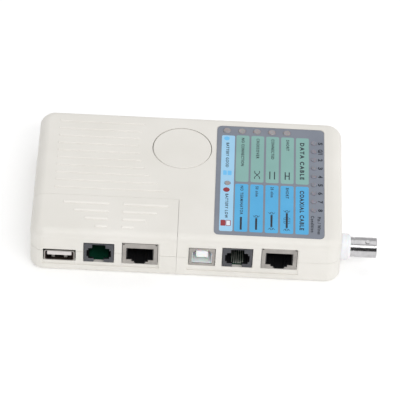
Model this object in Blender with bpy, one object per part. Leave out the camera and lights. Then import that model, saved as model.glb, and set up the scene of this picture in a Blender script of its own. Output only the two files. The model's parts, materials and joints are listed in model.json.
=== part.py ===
"""Network cable tester: a main unit with a detachable remote unit docked in its front left corner.

Sizes and places below are in millimetres, and put() turns them into Blender's metres.
Frame: X runs along the case towards the BNC jack, Y runs to the back, away from the ports, and
Z is up. The origin is the centre of the case's underside.
"""

import math

import bmesh
import bpy
from mathutils import Matrix, Vector

MM = 0.001

# The case.
BODY_LENGTH, BODY_WIDTH, BODY_HEIGHT = 145.5, 85.0, 25.0
CORNER = 7.0
TOP_ROUND_SIDE, TOP_ROUND_FRONT, TOP_ROUND_HEIGHT = 5.5, 4.0, 4.5
BOTTOM_ROUND = 2.5
WALL = 2.2
PARTING = 12.8
LEFT, RIGHT = -BODY_LENGTH / 2, BODY_LENGTH / 2
FRONT, BACK = -BODY_WIDTH / 2, BODY_WIDTH / 2

# Clearances: between fitted pieces, and between pieces that touch on the real object.
FIT = 0.3
TOUCH = 0.1
FAR = 20.0

# The remote unit's seam with the main unit.
SEAM_X, SEAM_X_GAP = -4.1, 0.4
SEAM_Y, SEAM_Y_GAP = -16.5, 0.3
REMOTE_X, REMOTE_Y = SEAM_X - SEAM_X_GAP / 2, SEAM_Y - SEAM_Y_GAP / 2
MAIN_X, MAIN_Y = SEAM_X + SEAM_X_GAP / 2, SEAM_Y + SEAM_Y_GAP / 2
INNER_WALL = 2.0

# The lip on each bottom case that locates its top case.
LIP_OUTER, LIP_HEIGHT = 1.3, 1.5

# The two tongues on the remote unit's back, which plug into pockets in the main unit's wall.
TONGUE_X, TONGUE_WIDTH, TONGUE_DEPTH = (-54.0, -22.0), 10.0, 2.7
TONGUE_LOW, TONGUE_HIGH = 5.0, 9.0
DOCK_WALL = 3.75

# Boards and the sunken panels round the two rows of ports.
BOARD = 1.6
MAIN_BOARD, REMOTE_BOARD = 7.6, 6.6
RECESS = 0.5
PORT_FACE = FRONT + RECESS
MAIN_PANEL = (0.7, 52.8)
REMOTE_PANEL = (-67.0, -12.2)
PANEL_LOW, PANEL_HIGH = 4.5, 20.9

# Ports: the middle of each along X, and their outer sizes.
USB_B_X, MAIN_RJ11_X, MAIN_RJ45_X = 7.75, 24.25, 43.8
USB_A_X, REMOTE_RJ11_X, REMOTE_RJ45_X = -58.85, -40.45, -21.25
RJ45_WIDTH, RJ45_HEIGHT, RJ45_DEPTH = 16.4, 12.9, 21.0
RJ11_WIDTH, RJ11_HEIGHT, RJ11_DEPTH, RJ11_PROUD = 13.9, 11.8, 17.0, 0.3
USB_B_WIDTH, USB_B_HEIGHT, USB_B_DEPTH = 12.1, 10.8, 16.0
USB_A_WIDTH, USB_A_HEIGHT, USB_A_DEPTH = 13.1, 5.7, 14.0
USB_A_LIP_WIDTH, USB_A_LIP_HEIGHT = 14.8, 7.2
SHEET = 0.4

# The BNC jack, which points along +X.
BNC_Y, BNC_Z = -31.3, 13.8
BNC_COLLAR_RADIUS, BNC_COLLAR_END = 6.25, 76.9
BNC_BARREL_RADIUS, BNC_END = 4.8, 89.3

# The label, its lamps, and the round test button.
LABEL = (12.7, 64.1, -38.45, 36.1)
LABEL_CORNER, LABEL_RECESS, LABEL_THICK = 2.4, 0.5, 0.3
PIN_LAMP_X, PIN_LAMP_Y, PIN_LAMP_PITCH, PIN_LAMP_RADIUS = 59.2, 26.6, 5.76, 1.45
STATUS_LAMP_X, STATUS_LAMP_Y, STATUS_LAMP_PITCH, STATUS_LAMP_RADIUS = 17.4, 33.0, 7.2, 1.9
LOW_LAMP_X, LOW_LAMP_Y = 18.3, -3.6
LAMP_TOP = 25.3
BUTTON_X, BUTTON_Y, BUTTON_RADIUS = -3.8, 18.9, 13.95
BUTTON_TOP, BUTTON_FLANGE, BUTTON_FLANGE_Z = 25.1, 15.3, 19.6

# Moulded ribs: long ones on the main unit, short grip ribs on the remote unit.
RIB_PITCH, RIB_Y = 5.1, 34.5
LONG_RIBS, LONG_RIB_LEFT, LONG_RIB_WIDTH, LONG_RIB_HEIGHT = 10, -63.0, 1.0, 0.35
RIB_ARC_X, RIB_ARC_Y, RIB_ARC_RADIUS = 15.6, 20.0, 40.2
SHORT_RIBS, SHORT_RIB_X, SHORT_RIB_GAP, SHORT_RIB_REACH = 4, -33.6, 3.4, 24.7
SHORT_RIB_STEP, SHORT_RIB_WIDTH, SHORT_RIB_HEIGHT = 5.2, 1.2, 0.5

# Battery bay under the long ribs, and its sliding cover.
BATTERY = (-67.0, -20.5, 1.5, 28.0)
BATTERY_LOW, BATTERY_HIGH = 2.6, 20.1
BAY_RIGHT = -14.1
COVER_THICK, COVER_WING, COVER_LEDGE = 2.0, 1.2, 0.7

# Screws.
CASE_SCREWS = ((-66.5, 36.3), (66.5, 36.3), (66.5, -13.5), (-66.5, -8.5))
REMOTE_SCREWS = ((-66.3, -23.2), (-9.6, -23.0))
BOARD_SCREWS = ((53.0, 34.5), (8.0, -11.0))
HEAD_SEAT = 6.0

ROUND_STEPS = 16


# ---------------------------------------------------------------- tools


def finish(name, color, roughness, metallic=0.0):
    """A Principled material of one colour."""
    material = bpy.data.materials.new(name)
    material.use_nodes = True
    shader = material.node_tree.nodes["Principled BSDF"]
    shader.inputs["Base Color"].default_value = (*color, 1.0)
    shader.inputs["Roughness"].default_value = roughness
    shader.inputs["Metallic"].default_value = metallic
    return material


def put(name, bm, material=None, at=(0, 0, 0), parent=None):
    """Makes an object from a bmesh drawn in millimetres, and stands it at a place in millimetres."""
    bmesh.ops.recalc_face_normals(bm, faces=bm.faces)
    bm.transform(Matrix.Scale(MM, 4))
    mesh = bpy.data.meshes.new(name)
    bm.to_mesh(mesh)
    bm.free()
    mesh.shade_smooth()
    mesh.set_sharp_from_angle(angle=math.radians(35))
    if material:
        mesh.materials.append(material)
    return place(bpy.data.objects.new(name, mesh), at, parent)


def place(obj, at=(0, 0, 0), parent=None):
    """Links an object, with its place given in the frame's millimetres."""
    bpy.context.scene.collection.objects.link(obj)
    obj.location = Vector(at) * MM
    if parent:
        obj.parent = parent
        obj.location -= parent.location
    return obj


def boolean(obj, other, operation):
    """Joins, cuts or trims obj with a helper shape, which isn't part of the model itself."""
    modifier = obj.modifiers.new(other.name, "BOOLEAN")
    modifier.operation = operation
    modifier.object = other
    other.hide_render = True
    other.display_type = "WIRE"


def joined(obj, *others):
    for other in others:
        boolean(obj, other, "UNION")
    return obj


def cut(obj, *others):
    for other in others:
        boolean(obj, other, "DIFFERENCE")
    return obj


def box(bm, low, high):
    """A block between two corners."""
    size = [b - a for a, b in zip(low, high)]
    middle = [(a + b) / 2 for a, b in zip(low, high)]
    matrix = Matrix.Translation(middle) @ Matrix.Diagonal((*size, 1))
    bmesh.ops.create_cube(bm, size=1, matrix=matrix)


def prism(bm, outline, low, high, axis="Z"):
    """An outline pushed along an axis. Its points are (x, y), or (x, z) on Y, or (y, z) on X."""
    index = "XYZ".index(axis)

    def point(pair, along):
        values = list(pair)
        values.insert(index, along)
        return values

    face = bm.faces.new([bm.verts.new(point(pair, low)) for pair in outline])
    pushed = bmesh.ops.extrude_face_region(bm, geom=[face])["geom"]
    verts = [item for item in pushed if isinstance(item, bmesh.types.BMVert)]
    bmesh.ops.translate(bm, verts=verts, vec=point((0, 0), high - low))


def turned(bm, profile, steps=ROUND_STEPS, axis="Z", at=(0, 0, 0)):
    """A turned shape. The profile's points are (radius, height), from one end to the other."""
    turn = Matrix.Rotation(math.pi / 2, 4, "Y") if axis == "X" else Matrix.Identity(4)
    matrix = Matrix.Translation(at) @ turn
    rings = []
    for radius, height in profile:
        angles = [2 * math.pi * k / steps for k in range(steps)] if radius else [0.0]
        points = [(radius * math.cos(a), radius * math.sin(a), height) for a in angles]
        rings.append([bm.verts.new(matrix @ Vector(p)) for p in points])
    for lower, upper in zip(rings, rings[1:]):
        for k in range(steps):
            corners = [lower[k % len(lower)], lower[(k + 1) % len(lower)]]
            corners += [upper[(k + 1) % len(upper)], upper[k % len(upper)]]
            bm.faces.new(list(dict.fromkeys(corners)))
    for ring in (rings[0], rings[-1]):
        if len(ring) > 1:
            bm.faces.new(ring)


def tube(bm, outer, inner, low, high, steps=ROUND_STEPS, axis="Z", at=(0, 0, 0)):
    """A straight round tube, as a turned profile whose ends meet."""
    turned_ring(bm, [(outer, low), (outer, high), (inner, high), (inner, low)], steps, axis, at)


def turned_ring(bm, profile, steps=ROUND_STEPS, axis="Z", at=(0, 0, 0)):
    """A turned shape with a hole along its axis: the profile is a closed loop."""
    turn = Matrix.Rotation(math.pi / 2, 4, "Y") if axis == "X" else Matrix.Identity(4)
    matrix = Matrix.Translation(at) @ turn
    rings = []
    for radius, height in profile:
        angles = [2 * math.pi * k / steps for k in range(steps)]
        points = [(radius * math.cos(a), radius * math.sin(a), height) for a in angles]
        rings.append([bm.verts.new(matrix @ Vector(p)) for p in points])
    for lower, upper in zip(rings, rings[1:] + rings[:1]):
        for k in range(steps):
            after = (k + 1) % steps
            bm.faces.new((lower[k], lower[after], upper[after], upper[k]))


def rounded(corners, steps=5):
    """An outline whose corners are arcs. Each corner is (x, y, radius)."""
    outline = []
    for i, (x, y, radius) in enumerate(corners):
        here = Vector((x, y))
        if radius <= 0:
            outline.append(here)
            continue
        before = (Vector(corners[i - 1][:2]) - here).normalized()
        after = (Vector(corners[(i + 1) % len(corners)][:2]) - here).normalized()
        centre = here + (before + after) * radius
        for k in range(steps + 1):
            angle = k / steps * math.pi / 2
            outline.append(centre - after * radius * math.cos(angle) - before * radius * math.sin(angle))
    return outline


def rectangle(x0, x1, y0, y1, radius, steps=5):
    return rounded([(x0, y0, radius), (x1, y0, radius), (x1, y1, radius), (x0, y1, radius)], steps)


def main_outline(inset, dock_wall=0.0):
    """The main unit's L shape, drawn in from its faces. dock_wall thickens the wall with the pockets."""
    corner, small = max(CORNER - inset, 1.0), 0.5
    step = MAIN_Y + max(inset, dock_wall)
    return rounded(
        [
            (MAIN_X + inset, FRONT + inset, small),
            (RIGHT - inset, FRONT + inset, corner),
            (RIGHT - inset, BACK - inset, corner),
            (LEFT + inset, BACK - inset, corner),
            (LEFT + inset, step, small),
            (MAIN_X + inset, step, 0),
        ]
    )


def remote_outline(inset):
    """The remote unit's outline, drawn in from its faces."""
    corner, small = max(CORNER - inset, 1.0), 0.5
    return rounded(
        [
            (LEFT + inset, FRONT + inset, corner),
            (REMOTE_X - inset, FRONT + inset, small),
            (REMOTE_X - inset, REMOTE_Y - inset, small),
            (LEFT + inset, REMOTE_Y - inset, small),
        ]
    )


# ---------------------------------------------------------------- case shells


def body_block(name, levels, material=None):
    """A block with the case's plan outline. A level is (inset along X, inset along Y, height)."""
    bm = bmesh.new()
    rings = []
    for inset_x, inset_y, height in levels:
        ring = []
        for turn, (x, y) in enumerate([(RIGHT, BACK), (LEFT, BACK), (LEFT, FRONT), (RIGHT, FRONT)]):
            side_x, side_y = math.copysign(1, x), math.copysign(1, y)
            centre_x, centre_y = x - side_x * CORNER, y - side_y * CORNER
            for k in range(7):
                angle = (turn + k / 6) * math.pi / 2
                across = centre_x + (CORNER - inset_x) * math.cos(angle)
                along = centre_y + (CORNER - inset_y) * math.sin(angle)
                ring.append(bm.verts.new((across, along, height)))
        rings.append(ring)
    for lower, upper in zip(rings, rings[1:]):
        for k in range(len(lower)):
            after = (k + 1) % len(lower)
            bm.faces.new((lower[k], lower[after], upper[after], upper[k]))
    bm.faces.new(rings[0])
    bm.faces.new(rings[-1])
    return put(name, bm, material)


def top_levels(steps=5):
    """The upper half: a straight wall, then an elliptical rounding into the flat top."""
    levels = [(0, 0, PARTING + FIT / 2)]
    for k in range(steps + 1):
        angle = k / steps * math.pi / 2
        drawn_in = 1 - math.cos(angle)
        height = BODY_HEIGHT - TOP_ROUND_HEIGHT * (1 - math.sin(angle))
        levels.append((TOP_ROUND_SIDE * drawn_in, TOP_ROUND_FRONT * drawn_in, height))
    return levels


def bottom_levels(steps=3):
    """The lower half, from its flat underside up to the parting line."""
    levels = []
    for k in range(steps + 1):
        angle = k / steps * math.pi / 2
        inset = BOTTOM_ROUND * (1 - math.sin(angle))
        levels.append((inset, inset, BOTTOM_ROUND * (1 - math.cos(angle))))
    levels.append((0, 0, PARTING - FIT / 2))
    return levels


def helper_box(name, low, high):
    bm = bmesh.new()
    box(bm, low, high)
    return put(name, bm)


def helper_prism(name, outline, low, high, axis="Z"):
    bm = bmesh.new()
    prism(bm, outline, low, high, axis)
    return put(name, bm)


def remote_corner(name, x, y):
    """Everything in front of y and to the left of x."""
    return helper_box(name, (LEFT - FAR, FRONT - FAR, -FAR), (x, y, BODY_HEIGHT + FAR))


def bosses(name, places, radius, low, high):
    """Round screw bosses."""
    bm = bmesh.new()
    for x, y in places:
        turned(bm, [(radius, low), (radius, high)], 12, at=(x, y, 0))
    return put(name, bm)


def rib(bm, left, right, y, width, height):
    """One moulded rib on the top face, running along X, with sloping sides."""
    root, crown = width / 2, width / 4
    top = BODY_HEIGHT + height
    buried = BODY_HEIGHT - 0.6
    outline = [(y - root, buried), (y + root, buried), (y + root, BODY_HEIGHT)]
    outline += [(y + crown, top), (y - crown, top), (y - root, BODY_HEIGHT)]
    prism(bm, outline, left, right, "X")


def long_ribs():
    """The ribs beside the button. Their right ends lie on one large arc."""
    bm = bmesh.new()
    for k in range(LONG_RIBS):
        y = RIB_Y - RIB_PITCH * k
        right = RIB_ARC_X - math.sqrt(RIB_ARC_RADIUS**2 - (y - RIB_ARC_Y) ** 2)
        rib(bm, LONG_RIB_LEFT, right, y, LONG_RIB_WIDTH, LONG_RIB_HEIGHT)
    return put("long_rib_shapes", bm)


def short_ribs():
    """The remote unit's grip: two fans of ribs that narrow towards the ports."""
    bm = bmesh.new()
    for k in range(SHORT_RIBS):
        y = RIB_Y - RIB_PITCH * (LONG_RIBS + 1 + k)
        reach = SHORT_RIB_REACH - SHORT_RIB_STEP * k
        for side in (-1, 1):
            ends = sorted((SHORT_RIB_X + side * SHORT_RIB_GAP, SHORT_RIB_X + side * reach))
            rib(bm, *ends, y, SHORT_RIB_WIDTH, SHORT_RIB_HEIGHT)
    return put("short_rib_shapes", bm)


def port_holes(name, holes):
    """Square openings through the front wall. A hole is (middle, width, low, height)."""
    bm = bmesh.new()
    for middle, width, low, height in holes:
        half = width / 2 + FIT
        box(bm, (middle - half, FRONT - FAR, low - FIT), (middle + half, FRONT + 4, low + height + FIT))
    return put(name, bm)


def main_port_holes():
    base = MAIN_BOARD + TOUCH
    return port_holes(
        "main_port_holes",
        [
            (USB_B_X, USB_B_WIDTH, base, USB_B_HEIGHT),
            (MAIN_RJ11_X, RJ11_WIDTH, base, RJ11_HEIGHT),
            (MAIN_RJ45_X, RJ45_WIDTH, base, RJ45_HEIGHT),
        ],
    )


def remote_port_holes():
    base = REMOTE_BOARD + TOUCH
    lip = (USB_A_LIP_HEIGHT - USB_A_HEIGHT) / 2
    return port_holes(
        "remote_port_holes",
        [
            (USB_A_X, USB_A_LIP_WIDTH, base + TOUCH, USB_A_LIP_HEIGHT - lip),
            (REMOTE_RJ11_X, RJ11_WIDTH, base, RJ11_HEIGHT),
            (REMOTE_RJ45_X, RJ45_WIDTH, base, RJ45_HEIGHT),
        ],
    )


def panel(name, ends):
    """The shallow sunken panel round a row of ports."""
    return helper_box(name, (ends[0], FRONT - FAR, PANEL_LOW), (ends[1], PORT_FACE, PANEL_HIGH))


def lamps():
    """Every lamp: its name, place and lens radius."""
    found = [("shield", PIN_LAMP_X, PIN_LAMP_Y, PIN_LAMP_RADIUS)]
    for k in range(1, 9):
        found.append((f"pin_{k}", PIN_LAMP_X, PIN_LAMP_Y - PIN_LAMP_PITCH * k, PIN_LAMP_RADIUS))
    for k, use in enumerate(("battery_good", "no_connection", "crossover", "connected", "short")):
        x = STATUS_LAMP_X + STATUS_LAMP_PITCH * k
        found.append((use, x, STATUS_LAMP_Y, STATUS_LAMP_RADIUS))
    found.append(("battery_low", LOW_LAMP_X, LOW_LAMP_Y, PIN_LAMP_RADIUS))
    return found


def lamp_holes():
    bm = bmesh.new()
    for _, x, y, radius in lamps():
        hole = radius + 0.2
        turned(bm, [(hole, BODY_HEIGHT - 4), (hole, BODY_HEIGHT + 2)], 12, at=(x, y, 0))
    return put("lamp_holes", bm)


def bnc_hole():
    bm = bmesh.new()
    radius = BNC_COLLAR_RADIUS + FIT
    turned(bm, [(radius, RIGHT - 4), (radius, RIGHT + 4)], 24, "X", (0, BNC_Y, BNC_Z))
    return put("bnc_hole", bm)


def dock_blocks(name, clearance):
    """The tongues on the remote unit's back, or with a clearance, the pockets that they plug into."""
    bm = bmesh.new()
    half = TONGUE_WIDTH / 2 + clearance
    low, high = TONGUE_LOW - clearance, TONGUE_HIGH + clearance
    for x in TONGUE_X:
        box(bm, (x - half, REMOTE_Y - 1, low), (x + half, REMOTE_Y + TONGUE_DEPTH + clearance, high))
    return put(name, bm)


def lip(name, outline):
    """The raised edge of a bottom case, between its inner wall and halfway through the wall."""
    bm = bmesh.new()
    prism(bm, outline(LIP_OUTER), PARTING - 1.5, PARTING + LIP_HEIGHT)
    return cut(put(name, bm), helper_prism(name + "_inside", outline(WALL), 0, BODY_HEIGHT))


def main_top_case(ivory, port_cuts, lamp_cuts, bnc_cut):
    case = body_block("main_top_case", top_levels(), ivory)
    cut(case, remote_corner("main_top_notch", MAIN_X, MAIN_Y))
    lip_room = main_outline(LIP_OUTER - FIT)
    cut(case, helper_prism("main_top_lip_room", lip_room, 5, PARTING + LIP_HEIGHT + FIT))
    cut(case, helper_prism("main_top_inside", main_outline(INNER_WALL), 5, BODY_HEIGHT - WALL))
    joined(case, long_ribs())
    joined(case, bosses("main_top_bosses", CASE_SCREWS, 2.8, HEAD_SEAT + 3.5, BODY_HEIGHT - 1))
    bm = bmesh.new()
    tube(bm, BUTTON_RADIUS + 1.8, BUTTON_RADIUS - 2, 21.0, BODY_HEIGHT - 1, 40, at=(BUTTON_X, BUTTON_Y, 0))
    joined(case, put("button_guide", bm))
    bm = bmesh.new()
    hole = BUTTON_RADIUS + FIT
    turned(bm, [(hole, 15), (hole, 30)], 40, at=(BUTTON_X, BUTTON_Y, 0))
    for x, y in CASE_SCREWS:
        turned(bm, [(1.45, 5), (1.45, BODY_HEIGHT - 5)], 8, at=(x, y, 0))
    cut(case, put("main_top_bores", bm), lamp_cuts)
    x0, x1, y0, y1 = LABEL
    edge = rectangle(x0 - 0.2, x1 + 0.2, y0 - 0.2, y1 + 0.2, LABEL_CORNER)
    cut(case, helper_prism("label_recess", edge, BODY_HEIGHT - LABEL_RECESS, BODY_HEIGHT + 2))
    cut(case, panel("main_panel", MAIN_PANEL), port_cuts, bnc_cut)
    return case


def main_bottom_case(ivory, port_cuts, bnc_cut):
    case = body_block("main_bottom_case", bottom_levels(), ivory)
    cut(case, remote_corner("main_bottom_notch", MAIN_X, MAIN_Y))
    inside = main_outline(WALL, DOCK_WALL)
    cut(case, helper_prism("main_bottom_inside", inside, WALL, BODY_HEIGHT))
    joined(case, lip("main_lip", main_outline))
    joined(case, bosses("main_bottom_bosses", CASE_SCREWS, 3.6, 1, HEAD_SEAT + 3.2))
    joined(case, bosses("board_posts", BOARD_SCREWS, 3.0, 1, MAIN_BOARD - BOARD - TOUCH))
    x0, x1, y0, y1 = BATTERY
    bay_low, bay_high = y0 - 0.7, y1 + 0.7
    slot_low, slot_high = bay_low - COVER_WING, bay_high + COVER_WING
    bm = bmesh.new()
    for low in (slot_low - 1.4, slot_high + 0.1):
        box(bm, (LEFT + 1, low, 1), (BAY_RIGHT, low + 1.3, PARTING - 3))
    joined(case, put("bay_walls", bm))
    cut(case, helper_box("bay_opening", (LEFT - FAR, bay_low, -FAR), (BAY_RIGHT, bay_high, WALL + 0.1)))
    slot_end = (BAY_RIGHT, slot_high, WALL + 0.1)
    cut(case, helper_box("wing_slot", (LEFT - FAR, slot_low, COVER_LEDGE), slot_end))
    bm = bmesh.new()
    for x, y in CASE_SCREWS:
        turned(bm, [(3.0, -5), (3.0, HEAD_SEAT), (1.6, HEAD_SEAT), (1.6, 20)], 12, at=(x, y, 0))
    for x, y in BOARD_SCREWS:
        turned(bm, [(1.3, 1.8), (1.3, 20)], 8, at=(x, y, 0))
    cut(case, put("main_bottom_bores", bm), dock_blocks("dock_pockets", FIT))
    cut(case, panel("main_panel_low", MAIN_PANEL), port_cuts, bnc_cut)
    return case


def battery_cover(ivory, slide):
    """Slides out to the left on two wings. Its left end carries the case's rounded edge."""
    x0, x1, y0, y1 = BATTERY
    low, high = y0 - 0.4, y1 + 0.4
    cover = body_block("battery_cover", bottom_levels(), ivory)
    keep = helper_box("cover_extent", (LEFT - FAR, low, -FAR), (BAY_RIGHT - FIT, high, COVER_THICK))
    boolean(cover, keep, "INTERSECT")
    wing = (low - COVER_WING, COVER_LEDGE + FIT)
    wings = helper_box("cover_wings", (LEFT + 3, *wing), (BAY_RIGHT - FIT, high + COVER_WING, COVER_THICK))
    joined(cover, wings)
    bm = bmesh.new()
    for k in range(6):
        x = -62 + 2.4 * k
        box(bm, (x, (low + high) / 2 - 7, -1), (x + 1.2, (low + high) / 2 + 7, 0.5))
    cut(cover, put("thumb_grooves", bm))
    cover.parent = slide
    cover.location = -slide.location
    return cover


def remote_top_case(ivory, port_cuts, slide):
    case = body_block("remote_top_case", top_levels(), ivory)
    boolean(case, remote_corner("remote_top_extent", REMOTE_X, REMOTE_Y), "INTERSECT")
    room = remote_outline(LIP_OUTER - FIT)
    cut(case, helper_prism("remote_top_lip_room", room, 5, PARTING + LIP_HEIGHT + FIT))
    cut(case, helper_prism("remote_top_inside", remote_outline(INNER_WALL), 5, BODY_HEIGHT - WALL))
    joined(case, short_ribs())
    joined(case, bosses("remote_top_bosses", REMOTE_SCREWS, 2.6, HEAD_SEAT + 3.5, BODY_HEIGHT - 1))
    bm = bmesh.new()
    for x, y in REMOTE_SCREWS:
        turned(bm, [(1.45, 5), (1.45, BODY_HEIGHT - 5)], 8, at=(x, y, 0))
    cut(case, put("remote_top_bores", bm))
    cut(case, panel("remote_panel", REMOTE_PANEL), port_cuts)
    case.parent = slide
    case.location = -slide.location
    return case


def remote_bottom_case(ivory, port_cuts, slide):
    case = body_block("remote_bottom_case", bottom_levels(), ivory)
    boolean(case, remote_corner("remote_bottom_extent", REMOTE_X, REMOTE_Y), "INTERSECT")
    cut(case, helper_prism("remote_bottom_inside", remote_outline(WALL), WALL, BODY_HEIGHT))
    joined(case, lip("remote_lip", remote_outline), dock_blocks("dock_tongues", 0))
    joined(case, bosses("remote_bottom_bosses", REMOTE_SCREWS, 3.4, 1, HEAD_SEAT + 3.2))
    bm = bmesh.new()
    for x, y in REMOTE_SCREWS:
        turned(bm, [(2.8, -5), (2.8, HEAD_SEAT), (1.6, HEAD_SEAT), (1.6, 20)], 12, at=(x, y, 0))
    cut(case, put("remote_bottom_bores", bm))
    cut(case, panel("remote_panel_low", REMOTE_PANEL), port_cuts)
    case.parent = slide
    case.location = -slide.location
    return case


# ---------------------------------------------------------------- boards, label, lamps, button


def circuit_board(name, outline, holes, top, green, parent=None):
    board = helper_prism(name, outline, top - BOARD, top)
    board.data.materials.append(green)
    bm = bmesh.new()
    for x, y, radius in holes:
        turned(bm, [(radius, 0), (radius, 20)], 12, at=(x, y, 0))
    cut(board, put(name + "_holes", bm))
    if parent:
        board.parent = parent
        board.location = -parent.location
    return board


def boards(green, slide):
    gap = 0.4
    inner = WALL + gap
    left = BAY_RIGHT + 5
    step = MAIN_Y + DOCK_WALL + gap
    outline = rounded(
        [
            (MAIN_X + inner, FRONT + inner, 0),
            (RIGHT - inner, FRONT + inner, CORNER - inner),
            (RIGHT - inner, BACK - inner, CORNER - inner),
            (left, BACK - inner, 0),
            (left, step, 0),
            (MAIN_X + inner, step, 0),
        ]
    )
    holes = [(x, y, 4.1) for x, y in CASE_SCREWS[1:3]] + [(x, y, 1.5) for x, y in BOARD_SCREWS]
    circuit_board("main_board", outline, holes, MAIN_BOARD, green)
    outline = rectangle(LEFT + inner, REMOTE_X - inner, FRONT + inner, REMOTE_Y - inner, CORNER - inner)
    holes = [(x, y, 4.2) for x, y in REMOTE_SCREWS]
    circuit_board("remote_board", outline, holes, REMOTE_BOARD, green, slide)


def label(film, lamp_cuts):
    x0, x1, y0, y1 = LABEL
    low = BODY_HEIGHT - LABEL_RECESS + TOUCH
    panel_film = helper_prism("label", rectangle(x0, x1, y0, y1, LABEL_CORNER), low, low + LABEL_THICK)
    panel_film.data.materials.append(film)
    return cut(panel_film, lamp_cuts)


def lamp(use, x, y, radius, lens):
    """A lamp on long legs: a flange, a straight lens and a low dome that stands just proud."""
    top = LAMP_TOP - MAIN_BOARD - TOUCH
    dome = radius * 0.55
    flange = radius + 0.35
    profile = [(flange, top - 6.2), (flange, top - 5.2), (radius, top - 5.2), (radius, top - dome)]
    profile += [(radius * 0.75, top - dome * 0.35), (0, top)]
    bm = bmesh.new()
    turned(bm, profile, 10)
    at = (x, y, MAIN_BOARD + TOUCH)
    body = put("lamp_" + use, bm, lens, at)
    bm = bmesh.new()
    for side in (-1.27, 1.27):
        box(bm, (side - 0.25, -0.25, 0), (side + 0.25, 0.25, top - 5.8))
    joined(body, put("lamp_legs_" + use, bm, at=at))


def test_button(ivory, travel):
    """A round cap with a keeping flange under the case and a stem that reaches the switch."""
    wall_low = BUTTON_FLANGE_Z
    bm = bmesh.new()
    under, stem, foot = 22.9, 2.2, 12.95
    profile = [
        (BUTTON_FLANGE, wall_low),
        (BUTTON_FLANGE, wall_low + 1.1),
        (BUTTON_RADIUS, wall_low + 1.1),
        (BUTTON_RADIUS, BUTTON_TOP - 0.5),
        (BUTTON_RADIUS - 0.15, BUTTON_TOP - 0.15),
        (BUTTON_RADIUS - 0.5, BUTTON_TOP),
        (0, BUTTON_TOP),
        (0, foot),
        (stem, foot),
        (stem, under),
        (BUTTON_RADIUS - 1.6, under),
        (BUTTON_RADIUS - 1.6, wall_low),
    ]
    cap = put("test_button", hollow_turned(bm, profile, 40), ivory, (BUTTON_X, BUTTON_Y, 0), travel)
    return cap


def hollow_turned(bm, profile, steps):
    """A turned closed profile of which one side lies on the axis."""
    rings = []
    for radius, height in profile:
        count = steps if radius else 1
        angles = [2 * math.pi * k / steps for k in range(count)]
        rings.append([bm.verts.new((radius * math.cos(a), radius * math.sin(a), height)) for a in angles])
    for lower, upper in zip(rings, rings[1:] + rings[:1]):
        if len(lower) == len(upper) == 1:
            continue
        for k in range(steps):
            corners = [lower[k % len(lower)], lower[(k + 1) % len(lower)]]
            corners += [upper[(k + 1) % len(upper)], upper[k % len(upper)]]
            bm.faces.new(list(dict.fromkeys(corners)))
    return bm


def switch(black, travel):
    """The push switch under the button: a square body and a plunger that slides in its bore."""
    base = MAIN_BOARD + TOUCH
    low = (BUTTON_X - 3, BUTTON_Y - 3, base)
    body = helper_box("switch_body", low, (BUTTON_X + 3, BUTTON_Y + 3, base + 3.6))
    body.data.materials.append(black)
    bm = bmesh.new()
    turned(bm, [(1.95, base + 1), (1.95, base + 6)], 12, at=(BUTTON_X, BUTTON_Y, 0))
    cut(body, put("switch_bore", bm))
    bm = bmesh.new()
    turned(bm, [(1.7, 10.0), (1.7, 12.4), (1.5, 12.7)], 12)
    put("switch_plunger", bm, black, (BUTTON_X, BUTTON_Y, 0), travel)


def microcontroller(black):
    """A dual-row chip with gull legs, standing on the board."""
    base = MAIN_BOARD + TOUCH
    chip = helper_box("microcontroller", (26, 2, base + 0.4), (44, 9.6, base + 2.9))
    chip.data.materials.append(black)
    bm = bmesh.new()
    for k in range(9):
        x = 27 + 2 * k
        box(bm, (x - 0.3, 0.6, base), (x + 0.3, 11, base + 0.9))
    return joined(chip, put("chip_legs", bm))


# ---------------------------------------------------------------- ports


def stepped_opening(widest, first, second, top, steps):
    """A modular jack's opening, (x, z): a wide bay over two narrower steps for the plug's latch."""
    half = [(second, -1), (second, steps[0]), (first, steps[0]), (first, steps[1])]
    half += [(widest, steps[1]), (widest, top)]
    return half + [(-x, z) for x, z in reversed(half)]


def finger_comb(name, count, pitch, front, back, high, low, width, gold, at, parent):
    """Spring contacts that slope down towards the back of a jack, held by one bar at the front."""
    span = (count - 1) / 2 * pitch
    bm = bmesh.new()
    box(bm, (-span - width, front, high - 0.5), (span + width, front + 1.2, high + 0.5))
    comb = put(name, bm, gold, at, parent)
    bm = bmesh.new()
    thick = 0.4
    side = [(front + 0.6, high - 0.3), (back, low), (back, low + thick), (front + 0.6, high - 0.3 + thick)]
    for k in range(count):
        x = k * pitch - span
        prism(bm, side, x - width / 2, x + width / 2, "X")
    return joined(comb, put(name + "_fingers", bm, at=at, parent=parent))


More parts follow.
